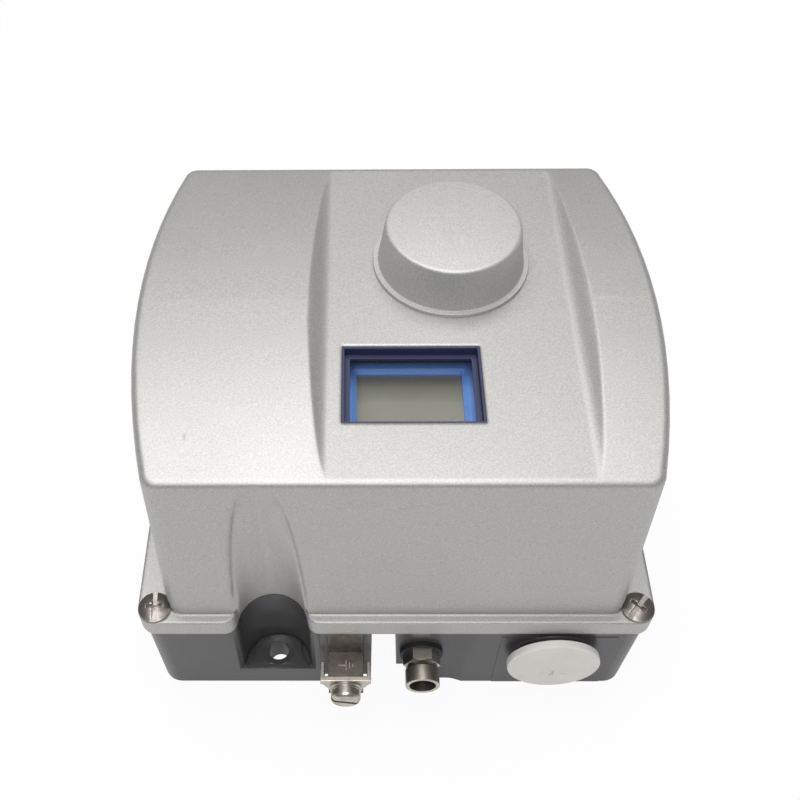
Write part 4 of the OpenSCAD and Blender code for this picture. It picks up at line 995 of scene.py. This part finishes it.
@dataclass
class Internals:
    """Shaft train, boards and pneumatics under the cover."""

    plan: dict[Paint, tuple[str, ...]] = field(default_factory=lambda: {
        Paint.STEEL: ("feedback_shaft", "shaft_clip", "sensor_spindle", "chassis_plate",
                      "chassis_screws", "manifold_screws", "valve_screws", "spool", "pressure_sensors",
                      "flapper_bracket", "flapper_pin", "flapper"),
        Paint.BRASS: ("lower_bush", "upper_bush", "drive_gear", "sensor_gear", "board_posts",
                      "display_posts", "pilot_nozzle"),
        Paint.ALLOY: ("manifold_block", "valve_body", "spring_cap", "pilot_cap"),
        Paint.RUBBER: ("shaft_seal",),
        Paint.BOARD: ("main_board", "display_board"),
        Paint.TERMINAL: ("terminal_block",),
        Paint.SCREW: ("terminal_screws",),
        Paint.BEZEL: ("display_bezel",),
        Paint.LCD: ("lcd_panel",),
        Paint.KEY: ("key_increase", "key_decrease", "key_confirm", "key_cancel"),
        Paint.SENSOR: ("position_sensor",),
        Paint.POINTER: ("travel_pointer",),
        Paint.COPPER: ("coil_unit",),
    })

    def build(self, frame: dict[str, Any]) -> None:
        """Dresses each inner node and makes the spring and diaphragm pieces at the spool.

        Args:
            frame: The loaded frame.
        """
        for paint, nodes in self.plan.items():
            for node in nodes:
                dress(frame["nodes"][node], paint)
                LOG.info("%s is %s", node, paint.name)
        SpoolFollowers().build(frame)


@dataclass
class Softbox:
    """One soft lamp that faces a point."""

    name: str
    place: Point
    target: Point
    size: float
    power: float

    def build(self) -> None:
        """Hangs the lamp."""
        lamp = bpy.data.lights.new(self.name, "AREA")
        lamp.shape = "SQUARE"
        lamp.size = self.size
        lamp.energy = self.power
        holder = bpy.data.objects.new(self.name, lamp)
        bpy.context.scene.collection.objects.link(holder)
        aim = Vector(self.target) - Vector(self.place)
        holder.location = self.place
        holder.rotation_euler = aim.to_track_quat("-Z", "Y").to_euler()


@dataclass
class Studio:
    """Pale floor, soft lamps, plain world and the camera."""

    floor_half: float = 3.0
    floor_level: float = -0.2 * MM
    floor_grey: float = 0.90
    ambient: float = 0.24
    floor_glow: float = 0.94
    floor_gleam: float = 0.45
    camera_place: Point = (-0.011055, -0.20115, 0.32278)
    camera_down: float = 51.91
    camera_yaw: float = 1.02
    camera_roll: float = 0.94
    focal_px: float = 1027.0
    middle_px: float = 346.53
    frame_px: float = 800.0
    sensor_mm: float = 36.0
    near_limit: float = 10.0 * MM
    lamps: tuple[Softbox, ...] = (
        Softbox("overhead_softbox", (-0.06, 0.20, 1.15), (-0.02, -0.02, 0.08), 0.90, 9.5),
        Softbox("front_softbox", (-0.10, -0.60, 1.15), (0.0, -0.03, 0.06), 0.60, 5.5),
    )

    def build(self) -> None:
        """Sets up everything round the object."""
        bpy.context.scene.view_settings.view_transform = "Standard"
        self._floor()
        self._world()
        for lamp in self.lamps:
            lamp.build()
        self._camera()

    @staticmethod
    def _rays(sheet: NodeSheet, *kinds: str) -> Wire:
        """Mask of some kinds of light rays.

        Args:
            sheet: The sheet that the light path is read on.
            *kinds: The kinds, as the light path names them.

        Returns:
            1 for rays of these kinds and 0 for all others.
        """
        path = sheet.node("ShaderNodeLightPath")
        mask, *others = (Wire(sheet, path.outputs[f"Is {kind} Ray"]) for kind in kinds)
        for other in others:
            mask = mask.most(other)
        return mask

    def _floor(self) -> None:
        """Lays the floor, which glows a little for the camera and keeps the shadow."""
        shape = bmesh.new()
        bmesh.ops.create_grid(shape, x_segments=2, y_segments=2, size=self.floor_half)
        bmesh.ops.translate(shape, verts=shape.verts, vec=(0.0, 0.0, self.floor_level))
        mesh = bpy.data.meshes.new("studio_floor")
        shape.to_mesh(mesh)
        shape.free()
        floor = bpy.data.objects.new("studio_floor", mesh)
        bpy.context.scene.collection.objects.link(floor)
        sheet = NodeSheet(bpy.data.materials.new("pale_floor"))
        matte = sheet.node("ShaderNodeBsdfDiffuse", sockets={"Color": grey(self.floor_grey)})
        glow = sheet.node("ShaderNodeEmission", sockets={"Color": grey(1.0), "Strength": 1.0})
        gleam = self._rays(sheet, "Glossy") * self.floor_gleam
        seen = self._rays(sheet, "Camera", "Transmission") * self.floor_glow
        both = sheet.node("ShaderNodeMixShader", sockets={
            0: gleam.most(seen),
            1: Wire(sheet, matte.outputs[0]),
            2: Wire(sheet, glow.outputs[0]),
        })
        sheet.node("ShaderNodeOutputMaterial", sockets={"Surface": Wire(sheet, both.outputs[0])})
        mesh.materials.append(sheet.owner)

    def _world(self) -> None:
        """Plain even light, white where it is seen."""
        world = bpy.data.worlds.new("studio_world")
        bpy.context.scene.world = world
        sheet = NodeSheet(world)
        seen = self._rays(sheet, "Camera", "Transmission")
        level = seen * (1.0 - self.ambient) + self.ambient
        back = sheet.node("ShaderNodeBackground", sockets={"Color": grey(1.0), "Strength": level})
        sheet.node("ShaderNodeOutputWorld", sockets={"Surface": Wire(sheet, back.outputs[0])})

    def _camera(self) -> None:
        """Sets the camera to the picture's place, angle and framing."""
        lens = bpy.data.cameras.new("picture_camera")
        lens.sensor_width = self.sensor_mm
        lens.lens = self.focal_px / self.frame_px * lens.sensor_width
        lens.shift_x = 0.5 - self.middle_px / self.frame_px
        lens.clip_start = self.near_limit
        turn = math.radians(self.camera_yaw)
        down = math.radians(self.camera_down)
        roll = math.radians(self.camera_roll)
        level_right = Vector((math.cos(turn), math.sin(turn), 0.0))
        ahead = Vector((-math.sin(turn) * math.cos(down), math.cos(turn) * math.cos(down),
                        -math.sin(down)))
        level_up = level_right.cross(ahead)
        right = math.cos(roll) * level_right - math.sin(roll) * level_up
        up = math.sin(roll) * level_right + math.cos(roll) * level_up
        stand = Matrix((right, up, -ahead)).transposed().to_4x4()
        stand.translation = self.camera_place
        camera = bpy.data.objects.new("picture_camera", lens)
        bpy.context.scene.collection.objects.link(camera)
        camera.matrix_world = stand
        bpy.context.scene.camera = camera


def main() -> None:
    """Loads the frame, dresses the positioner and sets up the studio."""
    logging.basicConfig(level=logging.INFO, format="%(name)s: %(message)s")
    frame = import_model()
    for assembly in (Housing(), Cover(), FrontFittings(), Internals()):
        assembly.build(frame)
        LOG.info("%s is done", type(assembly).__name__)
    Studio().build()


if __name__ == "__main__":
    main()
